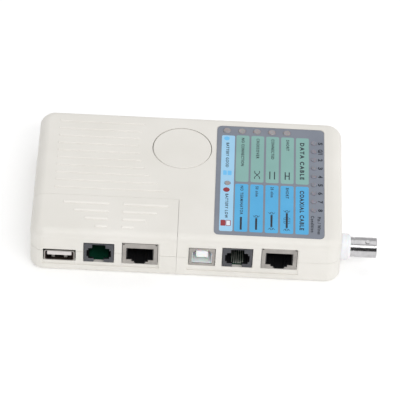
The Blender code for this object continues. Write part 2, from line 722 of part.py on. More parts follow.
def rj45_jack(unit, x, base, metal, black, gold, parent=None):
    """A shielded eight-way jack: a folded metal shield, a black insert and its contacts."""
    at = (x, PORT_FACE, base)
    half = RJ45_WIDTH / 2
    bm = bmesh.new()
    box(bm, (-half, 0, 0), (half, RJ45_DEPTH, RJ45_HEIGHT))
    shield = put(unit + "_rj45_shield", bm, metal, at, parent)
    bm = bmesh.new()
    box(bm, (SHEET - half, SHEET, -1), (half - SHEET, RJ45_DEPTH + 1, RJ45_HEIGHT - SHEET))
    opening = bmesh.new()
    prism(opening, stepped_opening(6.4, 3.9, 2.7, 9.9, (1.3, 2.5)), -1, 1, "Y")
    cut(shield, put(unit + "_rj45_room", bm, at=at, parent=parent))
    cut(shield, put(unit + "_rj45_mouth", opening, at=at, parent=parent))
    side = half - SHEET - TOUCH
    bm = bmesh.new()
    box(bm, (-side, SHEET + TOUCH, 0), (side, RJ45_DEPTH - 1, RJ45_HEIGHT - SHEET - TOUCH))
    insert = put(unit + "_rj45_insert", bm, black, at, parent)
    bay = bmesh.new()
    prism(bay, stepped_opening(5.9, 3.6, 2.4, 9.9, (1.4, 2.6)), -1, 15, "Y")
    pocket = bmesh.new()
    box(pocket, (-5.0, 2.8, 9.0), (5.0, 14.0, 11.6))
    cut(insert, put(unit + "_rj45_bay", bay, at=at, parent=parent))
    cut(insert, put(unit + "_rj45_pocket", pocket, at=at, parent=parent))
    finger_comb(unit + "_rj45_contacts", 8, 1.1, 3.1, 13, 10.9, 8.4, 0.5, gold, at, parent)


def wire_comb(name, front, back, rise, gold, at, parent):
    """Spring wires along a six-way jack's floor that turn at the front and slope up towards the back."""
    count, pitch, width = 6, 1.02, 0.5
    span = (count - 1) / 2 * pitch
    bm = bmesh.new()
    box(bm, (-span - width / 2, 11.3, 0.35), (span + width / 2, 12.5, 1.15))
    comb = put(name, bm, gold, at, parent)
    bm = bmesh.new()
    side = [(12.0, 0.4), (front + 0.55, 0.4), (front, 0.9), (front, 1.3), (front + 0.35, 1.75), (back, rise)]
    side += [(back + 0.1, rise - 0.4), (front + 0.7, 1.4), (front + 0.4, 1.15), (front + 0.4, 1.0)]
    side += [(front + 0.7, 0.8), (12.0, 0.8)]
    for k in range(count):
        x = k * pitch - span
        prism(bm, side, x - width / 2, x + width / 2, "X")
    return joined(comb, put(name + "_wires", bm, at=at, parent=parent))


def rj11_jack(unit, x, base, slot_half, wires, black, gold, parent=None):
    """An unshielded six-way jack, latch side up. Its contacts lie in a slot through the floor."""
    at = (x, PORT_FACE, base)
    half = RJ11_WIDTH / 2
    bm = bmesh.new()
    box(bm, (-half, -RJ11_PROUD, 0), (half, RJ11_DEPTH - RJ11_PROUD, RJ11_HEIGHT))
    housing = put(unit + "_rj11_housing", bm, black, at, parent)
    side = [(2.3, -1), (2.3, 2.3), (4.9, 2.3), (4.9, 3.6), (5.7, 3.6), (5.7, 7.6), (4.9, 7.6), (4.9, 9.0)]
    side += [(3.1, 9.0), (3.1, 11.2)]
    bay = bmesh.new()
    prism(bay, side + [(-x0, z0) for x0, z0 in reversed(side)], -2, 13, "Y")
    slot = bmesh.new()
    box(slot, (-slot_half, 0.9, -1), (slot_half, 13, 3.0))
    cut(housing, put(unit + "_rj11_bay", bay, at=at, parent=parent))
    cut(housing, put(unit + "_rj11_slot", slot, at=at, parent=parent))
    wire_comb(unit + "_rj11_contacts", *wires, gold, at, parent)


def house(half, low, high, chamfer):
    """A rectangle with its two upper corners cut off, as (x, z)."""
    right = [(half, low), (half, high - chamfer), (half - chamfer, high)]
    return right + [(-x, z) for x, z in reversed(right)]


def usb_b_port(metal, white):
    at = (USB_B_X, PORT_FACE, MAIN_BOARD + TOUCH)
    half = USB_B_WIDTH / 2
    bm = bmesh.new()
    box(bm, (-half, 0, 0), (half, USB_B_DEPTH, USB_B_HEIGHT))
    shield = put("usb_b_shield", bm, metal, at)
    room = bmesh.new()
    box(room, (SHEET - half, SHEET, SHEET), (half - SHEET, USB_B_DEPTH + 1, USB_B_HEIGHT - SHEET))
    mouth = bmesh.new()
    prism(mouth, house(4.5, 1.4, 9.4, 1.9), -1, 1, "Y")
    cut(shield, put("usb_b_room", room, at=at), put("usb_b_mouth", mouth, at=at))
    side = half - SHEET - TOUCH
    bm = bmesh.new()
    box(bm, (-side, SHEET + TOUCH, SHEET + TOUCH), (side, USB_B_DEPTH - 1, USB_B_HEIGHT - SHEET - TOUCH))
    insert = put("usb_b_insert", bm, white, at)
    bay = bmesh.new()
    prism(bay, house(4.25, 1.5, 9.3, 1.8), -1, 9.5, "Y")
    tongue = bmesh.new()
    box(tongue, (-2.8, 1.4, 4.2), (2.8, 10.5, 7.4))
    cut(insert, put("usb_b_bay", bay, at=at))
    return joined(insert, put("usb_b_tongue_shape", tongue, at=at))


def usb_a_port(metal, white, slide):
    """A flat port: a folded shield with a flared lip, and a white tongue in its upper half."""
    at = (USB_A_X, PORT_FACE, REMOTE_BOARD + TOUCH + 0.3)
    half, lip_half = USB_A_WIDTH / 2, USB_A_LIP_WIDTH / 2
    lip_z = (USB_A_LIP_HEIGHT - USB_A_HEIGHT) / 2 - 0.3
    bm = bmesh.new()
    prism(bm, rectangle(-half, half, 0, USB_A_HEIGHT, 0.8, 2), 0.1, USB_A_DEPTH, "Y")
    shield = put("usb_a_shield", bm, metal, at, slide)
    bm = bmesh.new()
    prism(bm, rectangle(-lip_half, lip_half, -lip_z + 0.1, USB_A_HEIGHT + lip_z, 1.2, 2), 0, SHEET, "Y")
    joined(shield, put("usb_a_lip", bm, at=at, parent=slide))
    bm = bmesh.new()
    inner = rectangle(0.3 - half, half - 0.3, 0.3, USB_A_HEIGHT - 0.3, 0.6, 2)
    prism(bm, inner, -1, USB_A_DEPTH + 1, "Y")
    cut(shield, put("usb_a_room", bm, at=at, parent=slide))
    bm = bmesh.new()
    box(bm, (-6.0, 9.5, 0.6), (6.0, 13.6, USB_A_HEIGHT - 0.6))
    tongue = put("usb_a_tongue", bm, white, at, slide)
    bm = bmesh.new()
    box(bm, (-5.55, 1.0, 3.1), (5.55, 10.5, 4.95))
    return joined(tongue, put("usb_a_tongue_blade", bm, at=at, parent=slide))


def bnc_jack(white, chrome, ptfe, gold):
    """The coaxial jack: plastic housing with a round collar, barrel with two lugs, and its core."""
    at = (0, BNC_Y, BNC_Z)
    bm = bmesh.new()
    box(bm, (59, BNC_Y - 6.4, MAIN_BOARD + TOUCH), (69.4, BNC_Y + 6.4, BNC_Z + 6.4))
    housing = put("bnc_housing", bm, white)
    radius, taper = BNC_COLLAR_RADIUS, BNC_COLLAR_END - 1.2
    bm = bmesh.new()
    profile = [(radius - 0.3, 68), (radius - 0.3, RIGHT - 1), (radius, RIGHT - 1), (radius, taper)]
    turned(bm, profile + [(5.15, BNC_COLLAR_END)], 24, "X", at)
    joined(housing, put("bnc_collar", bm))
    bm = bmesh.new()
    seat = BNC_BARREL_RADIUS + TOUCH
    turned(bm, [(2.6, 61.5), (2.6, 66.3), (seat, 66.3), (seat, 80)], 24, "X", at)
    cut(housing, put("bnc_bore", bm))
    outer, bore, core = BNC_BARREL_RADIUS, 4.05, 2.5
    bm = bmesh.new()
    profile = [(outer, 66.5), (outer, BNC_END - 0.4), (outer - 0.3, BNC_END), (bore + 0.1, BNC_END)]
    profile += [(bore, BNC_END - 0.4), (bore, 79), (core, 79), (core, 66.5)]
    turned_ring(bm, profile, 24, "X", at)
    barrel = put("bnc_barrel", bm, chrome)
    lean = math.radians(15)
    bm = bmesh.new()
    for side in (-1, 1):
        lug = bmesh.new()
        turned(lug, [(1.0, 4.4), (1.0, 5.35), (0.8, 5.55)], 10)
        lug.transform(Matrix.Rotation(math.pi * (side < 0) + lean, 4, "X"))
        lug.transform(Matrix.Translation((BNC_END - 4.5, BNC_Y, BNC_Z)))
        mesh = bpy.data.meshes.new("lug")
        lug.to_mesh(mesh)
        lug.free()
        bm.from_mesh(mesh)
        bpy.data.meshes.remove(mesh)
    joined(barrel, put("bnc_lugs", bm))
    bm = bmesh.new()
    tube(bm, core - TOUCH, 1.2, 63.5, 86.4, 16, "X", at)
    put("bnc_insulator", bm, ptfe)
    bm = bmesh.new()
    turned(bm, [(1.05, 62), (1.05, 86.0), (0.65, 86.0), (0.65, 81.0), (0, 81.0)], 12, "X", at)
    put("bnc_center_contact", bm, gold)


# ---------------------------------------------------------------- battery, leads, screws


def battery(can, black):
    """A nine-volt block lying on its side, with its two studs towards +X, and its snap connector."""
    x0, x1, y0, y1 = BATTERY
    middle_y, middle_z = (y0 + y1) / 2, (BATTERY_LOW + BATTERY_HIGH) / 2
    bm = bmesh.new()
    prism(bm, rectangle(y0, y1, BATTERY_LOW, BATTERY_HIGH, 2, 3), x0, x1, "X")
    block = put("battery", bm, can)
    bm = bmesh.new()
    for side, radius in ((-6.35, 2.9), (6.35, 3.7)):
        turned(bm, [(radius, x1 - 1), (radius, x1 + 2)], 10, "X", (0, middle_y + side, middle_z))
    joined(block, put("battery_studs", bm))
    bm = bmesh.new()
    plate = rectangle(middle_y - 12.8, middle_y + 12.8, middle_z - 6, middle_z + 6, 2, 2)
    prism(bm, plate, x1 + 0.2, x1 + 4.6, "X")
    snap = put("battery_snap", bm, black)
    bm = bmesh.new()
    for side, radius in ((-6.35, 3.2), (6.35, 4.0)):
        turned(bm, [(radius, x1 - 1), (radius, x1 + 2.4)], 10, "X", (0, middle_y + side, middle_z))
    cut(snap, put("snap_sockets", bm))


def lead(name, route, material):
    """A battery lead: a round wire along a smooth curve through the route's points."""
    curve = bpy.data.curves.new(name, "CURVE")
    curve.dimensions = "3D"
    curve.bevel_depth = 0.7 * MM
    curve.bevel_resolution = 1
    curve.use_fill_caps = True
    curve.materials.append(material)
    spline = curve.splines.new("POLY")
    points = smooth(route, 3)
    spline.points.add(len(points) - 1)
    for target, point in zip(spline.points, points):
        target.co = (*(point * MM), 1)
    return place(bpy.data.objects.new(name, curve))


def smooth(route, between):
    """Points on a Catmull-Rom curve through the route."""
    points = [Vector(p) for p in route]
    ends = [2 * points[0] - points[1], *points, 2 * points[-1] - points[-2]]
    found = []
    for a, b, c, d in zip(ends, ends[1:], ends[2:], ends[3:]):
        for k in range(between):
            t = k / between
            bend = 2 * a - 5 * b + 4 * c - d
            twist = 3 * b - a - 3 * c + d
            found.append(0.5 * (2 * b + (c - a) * t + bend * t**2 + twist * t**3))
    return [*found, points[-1]]


def leads(red, black):
    start = BATTERY[1] + 4.9
    high = MAIN_BOARD + 0.2
    for name, y, end, material in (("lead_red", 19, 7, red), ("lead_black", 11, 2, black)):
        route = [(start, y, 12), (start + 1.5, y, 12.2), (start + 5, y - 2, 13), (-8, (y + end) / 2, 13)]
        route += [(-6, end, 12), (-6, end, high)]
        lead(name, route, material)


def screw(name, x, y, seat, length, head, shaft, steel, up=True, parent=None):
    """A cross-head screw. seat is where its head bears; up is the way the shaft points."""
    way = 1 if up else -1
    thick = 1.8
    bm = bmesh.new()
    profile = [(0, -thick), (head * 0.8, -thick), (head, -thick * 0.5), (head, 0), (shaft, 0)]
    turned(bm, [*profile, (shaft, length - 1), (shaft * 0.4, length)], 12)
    if way < 0:
        bm.transform(Matrix.Rotation(math.pi, 4, "X"))
    at = (x, y, seat)
    body = put(name, bm, steel, at, parent)
    arm, slot = head * 0.55, head * 0.13
    plus = [(slot, slot), (arm, slot), (arm, -slot), (slot, -slot), (slot, -arm), (-slot, -arm)]
    plus += [(-px, -py) for px, py in plus]
    bm = bmesh.new()
    prism(bm, plus, -way * (thick + 1), -way * (thick - 0.9))
    return cut(body, put(name + "_cross", bm, at=at, parent=parent))


def screws(steel, slide):
    for k, (x, y) in enumerate(CASE_SCREWS, 1):
        screw(f"case_screw_{k}", x, y, HEAD_SEAT - TOUCH, 12.5, 2.7, 1.3, steel)
    for k, (x, y) in enumerate(BOARD_SCREWS, 1):
        screw(f"board_screw_{k}", x, y, MAIN_BOARD + TOUCH, 5.2, 2.4, 1.15, steel, up=False)
    for k, (x, y) in enumerate(REMOTE_SCREWS, 1):
        screw(f"remote_screw_{k}", x, y, HEAD_SEAT - TOUCH, 12.5, 2.5, 1.3, steel, parent=slide)


def resistor_network(black, slide):
    """The remote unit's row of end-of-line resistors, in one flat package behind the flat port."""
    base = REMOTE_BOARD + TOUCH
    body = helper_box("resistor_network", (-57, -23.6, base + 1), (-37, -21.6, base + 6))
    body.data.materials.append(black)
    bm = bmesh.new()
    for k in range(8):
        x = -56 + 2.54 * k
        box(bm, (x - 0.25, -22.85, base), (x + 0.25, -22.35, base + 1.5))
    joined(body, put("network_legs", bm))
    body.parent = slide
    body.location = -slide.location


# ---------------------------------------------------------------- the whole tester


def axis_empty(name, x, y, z):
    return place(bpy.data.objects.new(name, None), (x, y, z))


def build():
    for obj in list(bpy.data.objects):
        bpy.data.objects.remove(obj)
    ivory = finish("ivory_abs", (0.78, 0.76, 0.70), 0.5)
    film = finish("label_film", (0.17, 0.19, 0.24), 0.4)
    green = finish("green_board", (0.02, 0.18, 0.07), 0.4)
    black = finish("black_plastic", (0.03, 0.03, 0.03), 0.5)
    grey = finish("grey_black_plastic", (0.06, 0.06, 0.07), 0.5)
    white = finish("white_plastic", (0.85, 0.86, 0.87), 0.4)
    ptfe = finish("ptfe", (0.9, 0.9, 0.88), 0.5)
    metal = finish("tinned_steel", (0.62, 0.60, 0.57), 0.35, 1.0)
    chrome = finish("nickel_plate", (0.70, 0.69, 0.66), 0.2, 1.0)
    gold = finish("gold_contact", (0.83, 0.62, 0.27), 0.3, 1.0)
    steel = finish("zinc_screw", (0.55, 0.55, 0.56), 0.4, 1.0)
    lens = finish("lamp_lens", (0.60, 0.55, 0.56), 0.3)
    can = finish("battery_sleeve", (0.05, 0.06, 0.09), 0.4)
    red = finish("red_wire", (0.6, 0.03, 0.03), 0.5)

    remote_slide = axis_empty("remote_slide_axis", (LEFT + REMOTE_X) / 2, REMOTE_Y, TONGUE_LOW)
    cover_slide = axis_empty("battery_cover_slide_axis", LEFT, (BATTERY[2] + BATTERY[3]) / 2, 1.0)
    button_travel = axis_empty("button_axis", BUTTON_X, BUTTON_Y, BODY_HEIGHT)
    plunger_travel = axis_empty("plunger_axis", BUTTON_X, BUTTON_Y, MAIN_BOARD)

    main_ports, remote_ports = main_port_holes(), remote_port_holes()
    lamp_cuts, bnc_cut = lamp_holes(), bnc_hole()
    main_top_case(ivory, main_ports, lamp_cuts, bnc_cut)
    main_bottom_case(ivory, main_ports, bnc_cut)
    remote_top_case(ivory, remote_ports, remote_slide)
    remote_bottom_case(ivory, remote_ports, remote_slide)
    battery_cover(ivory, cover_slide)

    boards(green, remote_slide)
    label(film, lamp_cuts)
    for use, x, y, radius in lamps():
        lamp(use, x, y, radius, lens)
    test_button(ivory, button_travel)
    switch(grey, plunger_travel)
    microcontroller(black)

    usb_b_port(metal, white)
    rj11_jack("main", MAIN_RJ11_X, MAIN_BOARD + TOUCH, 3.2, (1.25, 10.7, 4.75), grey, gold)
    rj45_jack("main", MAIN_RJ45_X, MAIN_BOARD + TOUCH, metal, black, gold)
    usb_a_port(metal, white, remote_slide)
    rj11_jack("remote", REMOTE_RJ11_X, REMOTE_BOARD + TOUCH, 4.5, (10.2, 11.6, 1.9), grey, gold, remote_slide)
    rj45_jack("remote", REMOTE_RJ45_X, REMOTE_BOARD + TOUCH, metal, black, gold, remote_slide)
    bnc_jack(white, chrome, ptfe, gold)

    battery(can, black)
    leads(red, black)
    screws(steel, remote_slide)
    resistor_network(black, remote_slide)


build()
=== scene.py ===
"""The looks of a network cable tester: a main unit with a remote unit docked in its corner.

Sizes are in millimetres, and the frame is the CAD model's: X runs along the case to the coaxial
jack, Y to the back, and Z is up from the case's underside.
"""

import json
import math

import bpy
from mathutils import Matrix, Vector

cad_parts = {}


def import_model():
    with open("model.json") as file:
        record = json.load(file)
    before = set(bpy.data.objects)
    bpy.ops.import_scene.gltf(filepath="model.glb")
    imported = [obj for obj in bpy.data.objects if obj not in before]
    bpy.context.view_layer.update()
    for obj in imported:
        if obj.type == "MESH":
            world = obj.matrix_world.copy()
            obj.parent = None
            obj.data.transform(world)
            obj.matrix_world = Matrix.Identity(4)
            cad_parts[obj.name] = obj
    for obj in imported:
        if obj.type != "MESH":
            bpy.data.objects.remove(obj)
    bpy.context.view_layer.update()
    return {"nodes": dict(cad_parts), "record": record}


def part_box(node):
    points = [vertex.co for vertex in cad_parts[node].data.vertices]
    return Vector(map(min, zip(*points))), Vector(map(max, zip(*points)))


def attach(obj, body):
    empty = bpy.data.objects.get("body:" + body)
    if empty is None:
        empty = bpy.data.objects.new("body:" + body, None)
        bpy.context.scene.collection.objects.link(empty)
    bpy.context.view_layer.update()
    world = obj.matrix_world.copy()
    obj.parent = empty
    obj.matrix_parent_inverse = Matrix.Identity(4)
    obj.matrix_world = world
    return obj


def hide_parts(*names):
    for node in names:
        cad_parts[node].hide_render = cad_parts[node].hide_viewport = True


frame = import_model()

MM = 0.001

LEFT, RIGHT, FRONT, BACK, TOP = -72.75, 72.75, -42.5, 42.5, 25.0
CORNER = 7.0
ROUND_SIDE, ROUND_FRONT, ROUND_TOP, ROUND_BOTTOM = 5.5, 4.0, 4.5, 2.5
WALL, INNER_WALL, DOCK_WALL = 2.2, 2.0, 3.75
PARTING, PARTING_GAP = 12.8, 0.12
REMOTE_TOP, MAIN_TOP = (-4.16, -16.52), (-4.04, -16.48)
REMOTE_BOTTOM, MAIN_BOTTOM = (-4.15, -16.55), (-4.05, -16.45)
REMOTE_X, REMOTE_Y = REMOTE_TOP
MAIN_X, MAIN_Y = MAIN_TOP
LIP_OUTER, LIP_TOP = 1.3, 14.3
PORT_FACE = -42.0
MAIN_PANEL, REMOTE_PANEL, PANEL_HEIGHT = (0.7, 52.8), (-67.0, -12.2), (4.5, 20.9)
# Where the sockets stand: the upper faces of the boards, and the middle of each socket.
MAIN_BOARD, REMOTE_BOARD, FLAT_BASE, FLAT_HOLE_BASE = 7.7, 6.7, 7.0, 6.9
SQUARE_X, MAIN_PLAIN_X, MAIN_SHIELDED_X = 7.75, 24.25, 43.8
FLAT_X, REMOTE_PLAIN_X, REMOTE_SHIELDED_X = -58.85, -40.45, -21.25
# The width and height of each kind of socket, and the room round it in the front wall.
SQUARE_SIZE, PLAIN_SIZE, SHIELDED_SIZE, FLAT_SIZE = (12.1, 10.8), (13.9, 11.8), (16.4, 12.9), (14.8, 6.5)
PORT_ROOM = 0.25
RIB_PITCH, FIRST_RIB_Y, LONG_RIB_LEFT = 5.1, 34.5, -63.0
RIB_ARC_X, RIB_ARC_Y, RIB_ARC_RADIUS = 15.6, 20.0, 40.2
FAN_X = -33.6
LABEL_TOP = 24.9
PIN_LAMP_X, PIN_LAMP_Y, PIN_LAMP_PITCH, PIN_LAMP_RADIUS = 59.2, 26.6, 5.76, 1.45
STATUS_LAMP_X, STATUS_LAMP_Y, STATUS_LAMP_PITCH, STATUS_LAMP_RADIUS = 17.4, 33.0, 7.2, 1.9
LOW_BATTERY_LAMP = (18.3, -3.6)
BUTTON, BUTTON_RADIUS = (-3.8, 18.9), 13.95
CASE_SCREWS = ((-66.5, 36.3), (66.5, 36.3), (66.5, -13.5), (-66.5, -8.5))
REMOTE_SCREWS = ((-66.3, -23.2), (-9.6, -23.0))
SCREW_SEAT = 6.0
TONGUES = (-54.0, -22.0)
BNC_Y, BNC_Z, BNC_END = -31.3, 13.8, 89.3
EASE_ANGLE, EASE_STEPS = math.radians(35), 2

record = frame["record"]
body_of = {node: body for body, nodes in record["behaviour"]["bodies"].items() for node in nodes}


# ---- modelling by hand, in code


def deselect():
    bpy.ops.object.select_all(action="DESELECT")


def alone(piece):
    """Makes a piece the only one selected, and the active one."""
    deselect()
    piece.select_set(True)
    bpy.context.view_layer.objects.active = piece


def settled(name):
    """Names the new primitive, and moves its place and turn into its mesh."""
    piece = bpy.context.object
    bpy.ops.object.transform_apply(location=True, rotation=True, scale=True)
    piece.name = name
    return piece


def block(low, high, name="tool"):
    """A box between two corners."""
    low, high = Vector(low), Vector(high)
    deselect()
    bpy.ops.mesh.primitive_cube_add(size=MM, location=(low + high) / 2 * MM)
    bpy.context.object.scale = high - low
    return settled(name)


def rod(radius, low, high, at, axis="Z", sides=48, name="tool", tip=None):
    """A round bar along an axis. at holds its place on the other two; tip is its far end's radius."""
    place = list(at)
    place.insert("XYZ".index(axis), (low + high) / 2)
    turn = {"X": (0, math.pi / 2, 0), "Y": (-math.pi / 2, 0, 0), "Z": (0, 0, 0)}[axis]
    deselect()
    bpy.ops.mesh.primitive_cone_add(
        vertices=sides,
        radius1=radius * MM,
        radius2=(radius if tip is None else tip) * MM,
        depth=(high - low) * MM,
        location=Vector(place) * MM,
        rotation=turn,
    )
    return settled(name)


def joined(*pieces):
    """Several separate shapes as one mesh."""
    alone(pieces[0])
    for piece in pieces:
        piece.select_set(True)
    bpy.ops.object.join()
    return pieces[0]


def finished(piece, kind, **settings):
    """Adds a modifier and applies it."""
    alone(piece)
    modifier = piece.modifiers.new(kind.lower(), kind)
    for key, value in settings.items():
        setattr(modifier, key, value)
    bpy.ops.object.modifier_apply(modifier=modifier.name)
    return piece


def combined(piece, operation, tools):
    """Cuts, adds or intersects the tools one by one, and removes each."""
    for tool in tools:
        finished(piece, "BOOLEAN", operation=operation, object=tool, solver="MANIFOLD")
        bpy.data.objects.remove(tool)
    return piece


def cut(piece, *tools):
    return combined(piece, "DIFFERENCE", tools)


def added(piece, *tools):
    return combined(piece, "UNION", tools)


def kept(piece, *tools):
    return combined(piece, "INTERSECT", tools)


def rounded(piece, chosen, width, steps=6):
    """Bevels the edges that a test picks by the places of their two ends, in millimetres."""
    alone(piece)
    bpy.ops.object.mode_set(mode="EDIT")
    bpy.ops.mesh.select_mode(type="EDGE")
    bpy.ops.mesh.select_all(action="DESELECT")
    bpy.ops.object.mode_set(mode="OBJECT")
    places = [vertex.co / MM for vertex in piece.data.vertices]
    for edge in piece.data.edges:
        edge.select = chosen(places[edge.vertices[0]], places[edge.vertices[1]])
    bpy.ops.object.mode_set(mode="EDIT")
    bpy.ops.mesh.bevel(offset=width * MM, segments=steps, profile=0.5, affect="EDGES")
    bpy.ops.object.mode_set(mode="OBJECT")
    return piece


def along(axis):
    """A test for the edges that run along an axis."""
    index = "XYZ".index(axis)
    return lambda a, b: abs((b - a).normalized()[index]) > 0.99


def level(height):
    """A test for the edges that lie at one height."""
    return lambda a, b: abs(a.z - height) < 0.01 and abs(b.z - height) < 0.01


def before(y):
    """A test for the edges whose two ends lie in front of a place."""
    return lambda a, b: a.y < y and b.y < y


def beyond(x):
    """A test for the edges whose two ends lie to the right of a place."""
    return lambda a, b: a.x > x and b.x > x


def tidied(piece):
    """Merges the points and the flat faces that the cuts left split."""
    alone(piece)
    bpy.ops.object.mode_set(mode="EDIT")
    bpy.ops.mesh.select_mode(type="VERT")
    bpy.ops.mesh.select_all(action="SELECT")
    bpy.ops.mesh.remove_doubles(threshold=0.004 * MM)
    bpy.ops.mesh.dissolve_limited(angle_limit=math.radians(0.4))
    bpy.ops.object.mode_set(mode="OBJECT")
    return piece


def eased(piece, width=0.15):
    """Breaks the sharp edges as a mould or a press does, and smooths the shading between them."""
    if width:
        tidied(piece)
        finished(
            piece,
            "BEVEL",
            width=width * MM,
            segments=EASE_STEPS,
            limit_method="ANGLE",
            angle_limit=EASE_ANGLE,
            miter_outer="MITER_ARC",
        )
    alone(piece)
    bpy.ops.object.shade_smooth_by_angle(angle=EASE_ANGLE)
    return finished(piece, "WEIGHTED_NORMAL", keep_sharp=True, weight=100)


def copied(piece, name, offset):
    """A copy with its own mesh, moved by an offset."""
    alone(piece)
    bpy.ops.object.duplicate()
    copy = bpy.context.object
    copy.location = Vector(offset) * MM
    return settled(name)


# ---- materials


def linear(code):
    """An sRGB hex colour as the linear colour that a shader takes."""
    values = [int(code[i : i + 2], 16) / 255 for i in (1, 3, 5)]
    return (*((v / 12.92 if v <= 0.04045 else ((v + 0.055) / 1.055) ** 2.4) for v in values), 1.0)


def add(tree, kind, inputs, **settings):
    """Adds a node with its settings, and feeds its inputs from values or from other nodes' outputs."""
    made = tree.nodes.new(kind)
    for key, value in settings.items():
        setattr(made, key, value)
    for socket, value in inputs.items():
        if isinstance(value, bpy.types.NodeSocket):
            tree.links.new(value, made.inputs[socket])
        else:
            made.inputs[socket].default_value = value
    return made


def surface(name, light, dark, rough, grain, depth, patch=14.0, stretch=(1, 1, 1), **shader):
    """A finish. light and dark are its colour's two ends, rough its roughness's; grain is the size of
    its texture in millimetres, depth how deep that is, and patch the size of its cloudiness.
    Most real grains are finer than these, which are as coarse as they need to be to show."""
    material = bpy.data.materials.new(name)
    material.use_nodes = True
    tree = material.node_tree
    principled = tree.nodes["Principled BSDF"]
    place = add(tree, "ShaderNodeTexCoord", {}).outputs["Object"]
    turned = add(tree, "ShaderNodeMapping", {"Vector": place, "Scale": stretch}).outputs["Vector"]
    texture, cloud = (
        add(
            tree,
            "ShaderNodeTexNoise",
            {"Vector": way, "Scale": 1 / (size * MM), "Detail": detail, "Roughness": gain},
        ).outputs["Fac"]
        for way, size, detail, gain in ((turned, grain, 3.0, 0.55), (place, patch, 2.0, 0.5))
    )
    blend = add(tree, "ShaderNodeMath", {0: texture, 1: 0.35, 2: cloud}, operation="MULTIPLY_ADD").outputs[0]
    spread = add(
        tree, "ShaderNodeMapRange", {"Value": blend, "From Min": 0.45, "From Max": 0.9}
    ).outputs["Result"]
    # A colour mix's own sockets are 6 and 7, and it gives its result at 2.
    colour = add(tree, "ShaderNodeMix", {0: spread, 6: linear(dark), 7: linear(light)}, data_type="RGBA")
    shine = add(
        tree,
        "ShaderNodeMapRange",
        {"Value": texture, "From Min": 0.3, "From Max": 0.7, "To Min": rough[0], "To Max": rough[1]},
    ).outputs["Result"]
    bump = add(
        tree, "ShaderNodeBump", {"Height": texture, "Strength": 0.5, "Distance": depth * MM}
    ).outputs["Normal"]
    tree.links.new(colour.outputs[2], principled.inputs["Base Color"])
    tree.links.new(shine, principled.inputs["Roughness"])
    tree.links.new(bump, principled.inputs["Normal"])
    for socket, value in shader.items():
        principled.inputs[socket.replace("_", " ")].default_value = value
    return material


# Moulded ABS with a spark-eroded skin: warm off-white, softly satin, very faintly cloudy.
ivory_abs = surface("ivory_abs_moulded", "#EAE7E1", "#E5E2DB", (0.38, 0.50), 0.5, 0.012, 22, IOR=1.53)
# The same ABS on the crests of the long ribs: a shade paler as a painted highlight, and a little smoother.
long_rib_painted_highlight = surface(
    "ivory_abs_long_rib_painted_highlight", "#EEEBE5", "#EAE7E0", (0.34, 0.44), 0.5, 0.006, 22, IOR=1.53
)
# On the short grip ribs the painted highlight is paler still, and the finish smoother.
grip_rib_painted_highlight = surface("ivory_abs_grip_rib_painted_highlight", "#F3F0EA", "#EFECE6", (0.30, 0.40), 0.5, 0.005, 22, IOR=1.53)
# Roughness, grain and depth of the inks of the coloured fields, and of the inks of lines and letters.
FIELD_INK, LINE_INK = ((0.38, 0.48), 0.4, 0.005), ((0.40, 0.50), 0.4, 0.004)
# Screen-printed polycarbonate overlay: a fine velvet texture under every ink.
overlay_grey = surface("polycarbonate_overlay_grey", "#838995", "#7A808D", (0.36, 0.46), 0.4, 0.006, IOR=1.58)
ink_green = surface("overlay_ink_sage", "#8BB6B0", "#84AFA9", *FIELD_INK, IOR=1.5)
ink_pale_blue = surface("overlay_ink_pale_blue", "#A6D4F1", "#9ECEED", *FIELD_INK, IOR=1.5)
ink_blue = surface("overlay_ink_blue", "#57B1E2", "#4EA9DC", *FIELD_INK, IOR=1.5)
ink_sky = surface("overlay_ink_sky", "#74C4F4", "#6CBEF1", *FIELD_INK, IOR=1.5)
ink_dark = surface("overlay_ink_slate", "#222B38", "#1B222D", *LINE_INK, IOR=1.5)
ink_red = surface("overlay_ink_red", "#9A3238", "#8E2A31", *LINE_INK, IOR=1.5)
ink_white = surface("overlay_ink_white", "#E8EEF4", "#E0E7EE", *LINE_INK, IOR=1.5)
# Diffused epoxy lamp lenses, unlit: milky, a little pink, with a soft sheen.
lens_epoxy = surface(
    "diffused_epoxy_lens", "#A29E9F", "#969294", (0.38, 0.48), 0.6, 0.004, 2.5, IOR=1.55,
    Subsurface_Weight=0.25, Subsurface_Scale=0.001,
)
# The smaller pin lamps are smokier, and nearly the grey of the overlay.
smoky_epoxy = surface(
    "smoky_epoxy_lens", "#8B8B95", "#81818B", (0.38, 0.48), 0.6, 0.004, 2.5, IOR=1.55,
    Subsurface_Weight=0.25, Subsurface_Scale=0.001,
)
# Tin-plated steel sheet, pressed and folded: soft grey, with faint rolling lines.
tinned_steel = surface(
    "tin_plated_steel_pressed", "#B1ADA8", "#9E9A96", (0.26, 0.40), 0.5, 0.006, 5, (1, 0.12, 1), Metallic=1.0
)
# The inside of the flat port's shield: the same steel, dull, painted a dark brown as painted shade inside the
# port.
shield_inside_painted_shade = surface(
    "steel_sheet_painted_shade", "#5B4F4A", "#43393A", (0.42, 0.58), 0.4, 0.006, 4, (1, 0.3, 1), Metallic=1.0
)
# Bright nickel over turned brass: fine turning rings round the barrel.
bright_nickel = surface(
    "bright_nickel_turned", "#CCCBCC", "#B7B6B8", (0.13, 0.24), 0.35, 0.006, 4, (1, 0.06, 0.06), Metallic=1.0
)
# Gold flash over phosphor bronze, burnished along each spring finger.
gold_flash = surface(
    "gold_flash_contact", "#D9B777", "#B8934F", (0.22, 0.36), 0.4, 0.003, 3, (1, 0.2, 1), Metallic=1.0
)
# Nickel-flashed spring wire: greyer and duller than the barrel, its colour painted paler than the bare metal
# as painted light for wires that sit in the socket's shade.
nickel_wire_painted_light = surface(
    "nickel_flashed_spring_wire_painted_light", "#DADED5", "#BFC4BA", (0.42, 0.56), 0.4, 0.003, 3, (1, 0.2, 1), Metallic=1.0
)
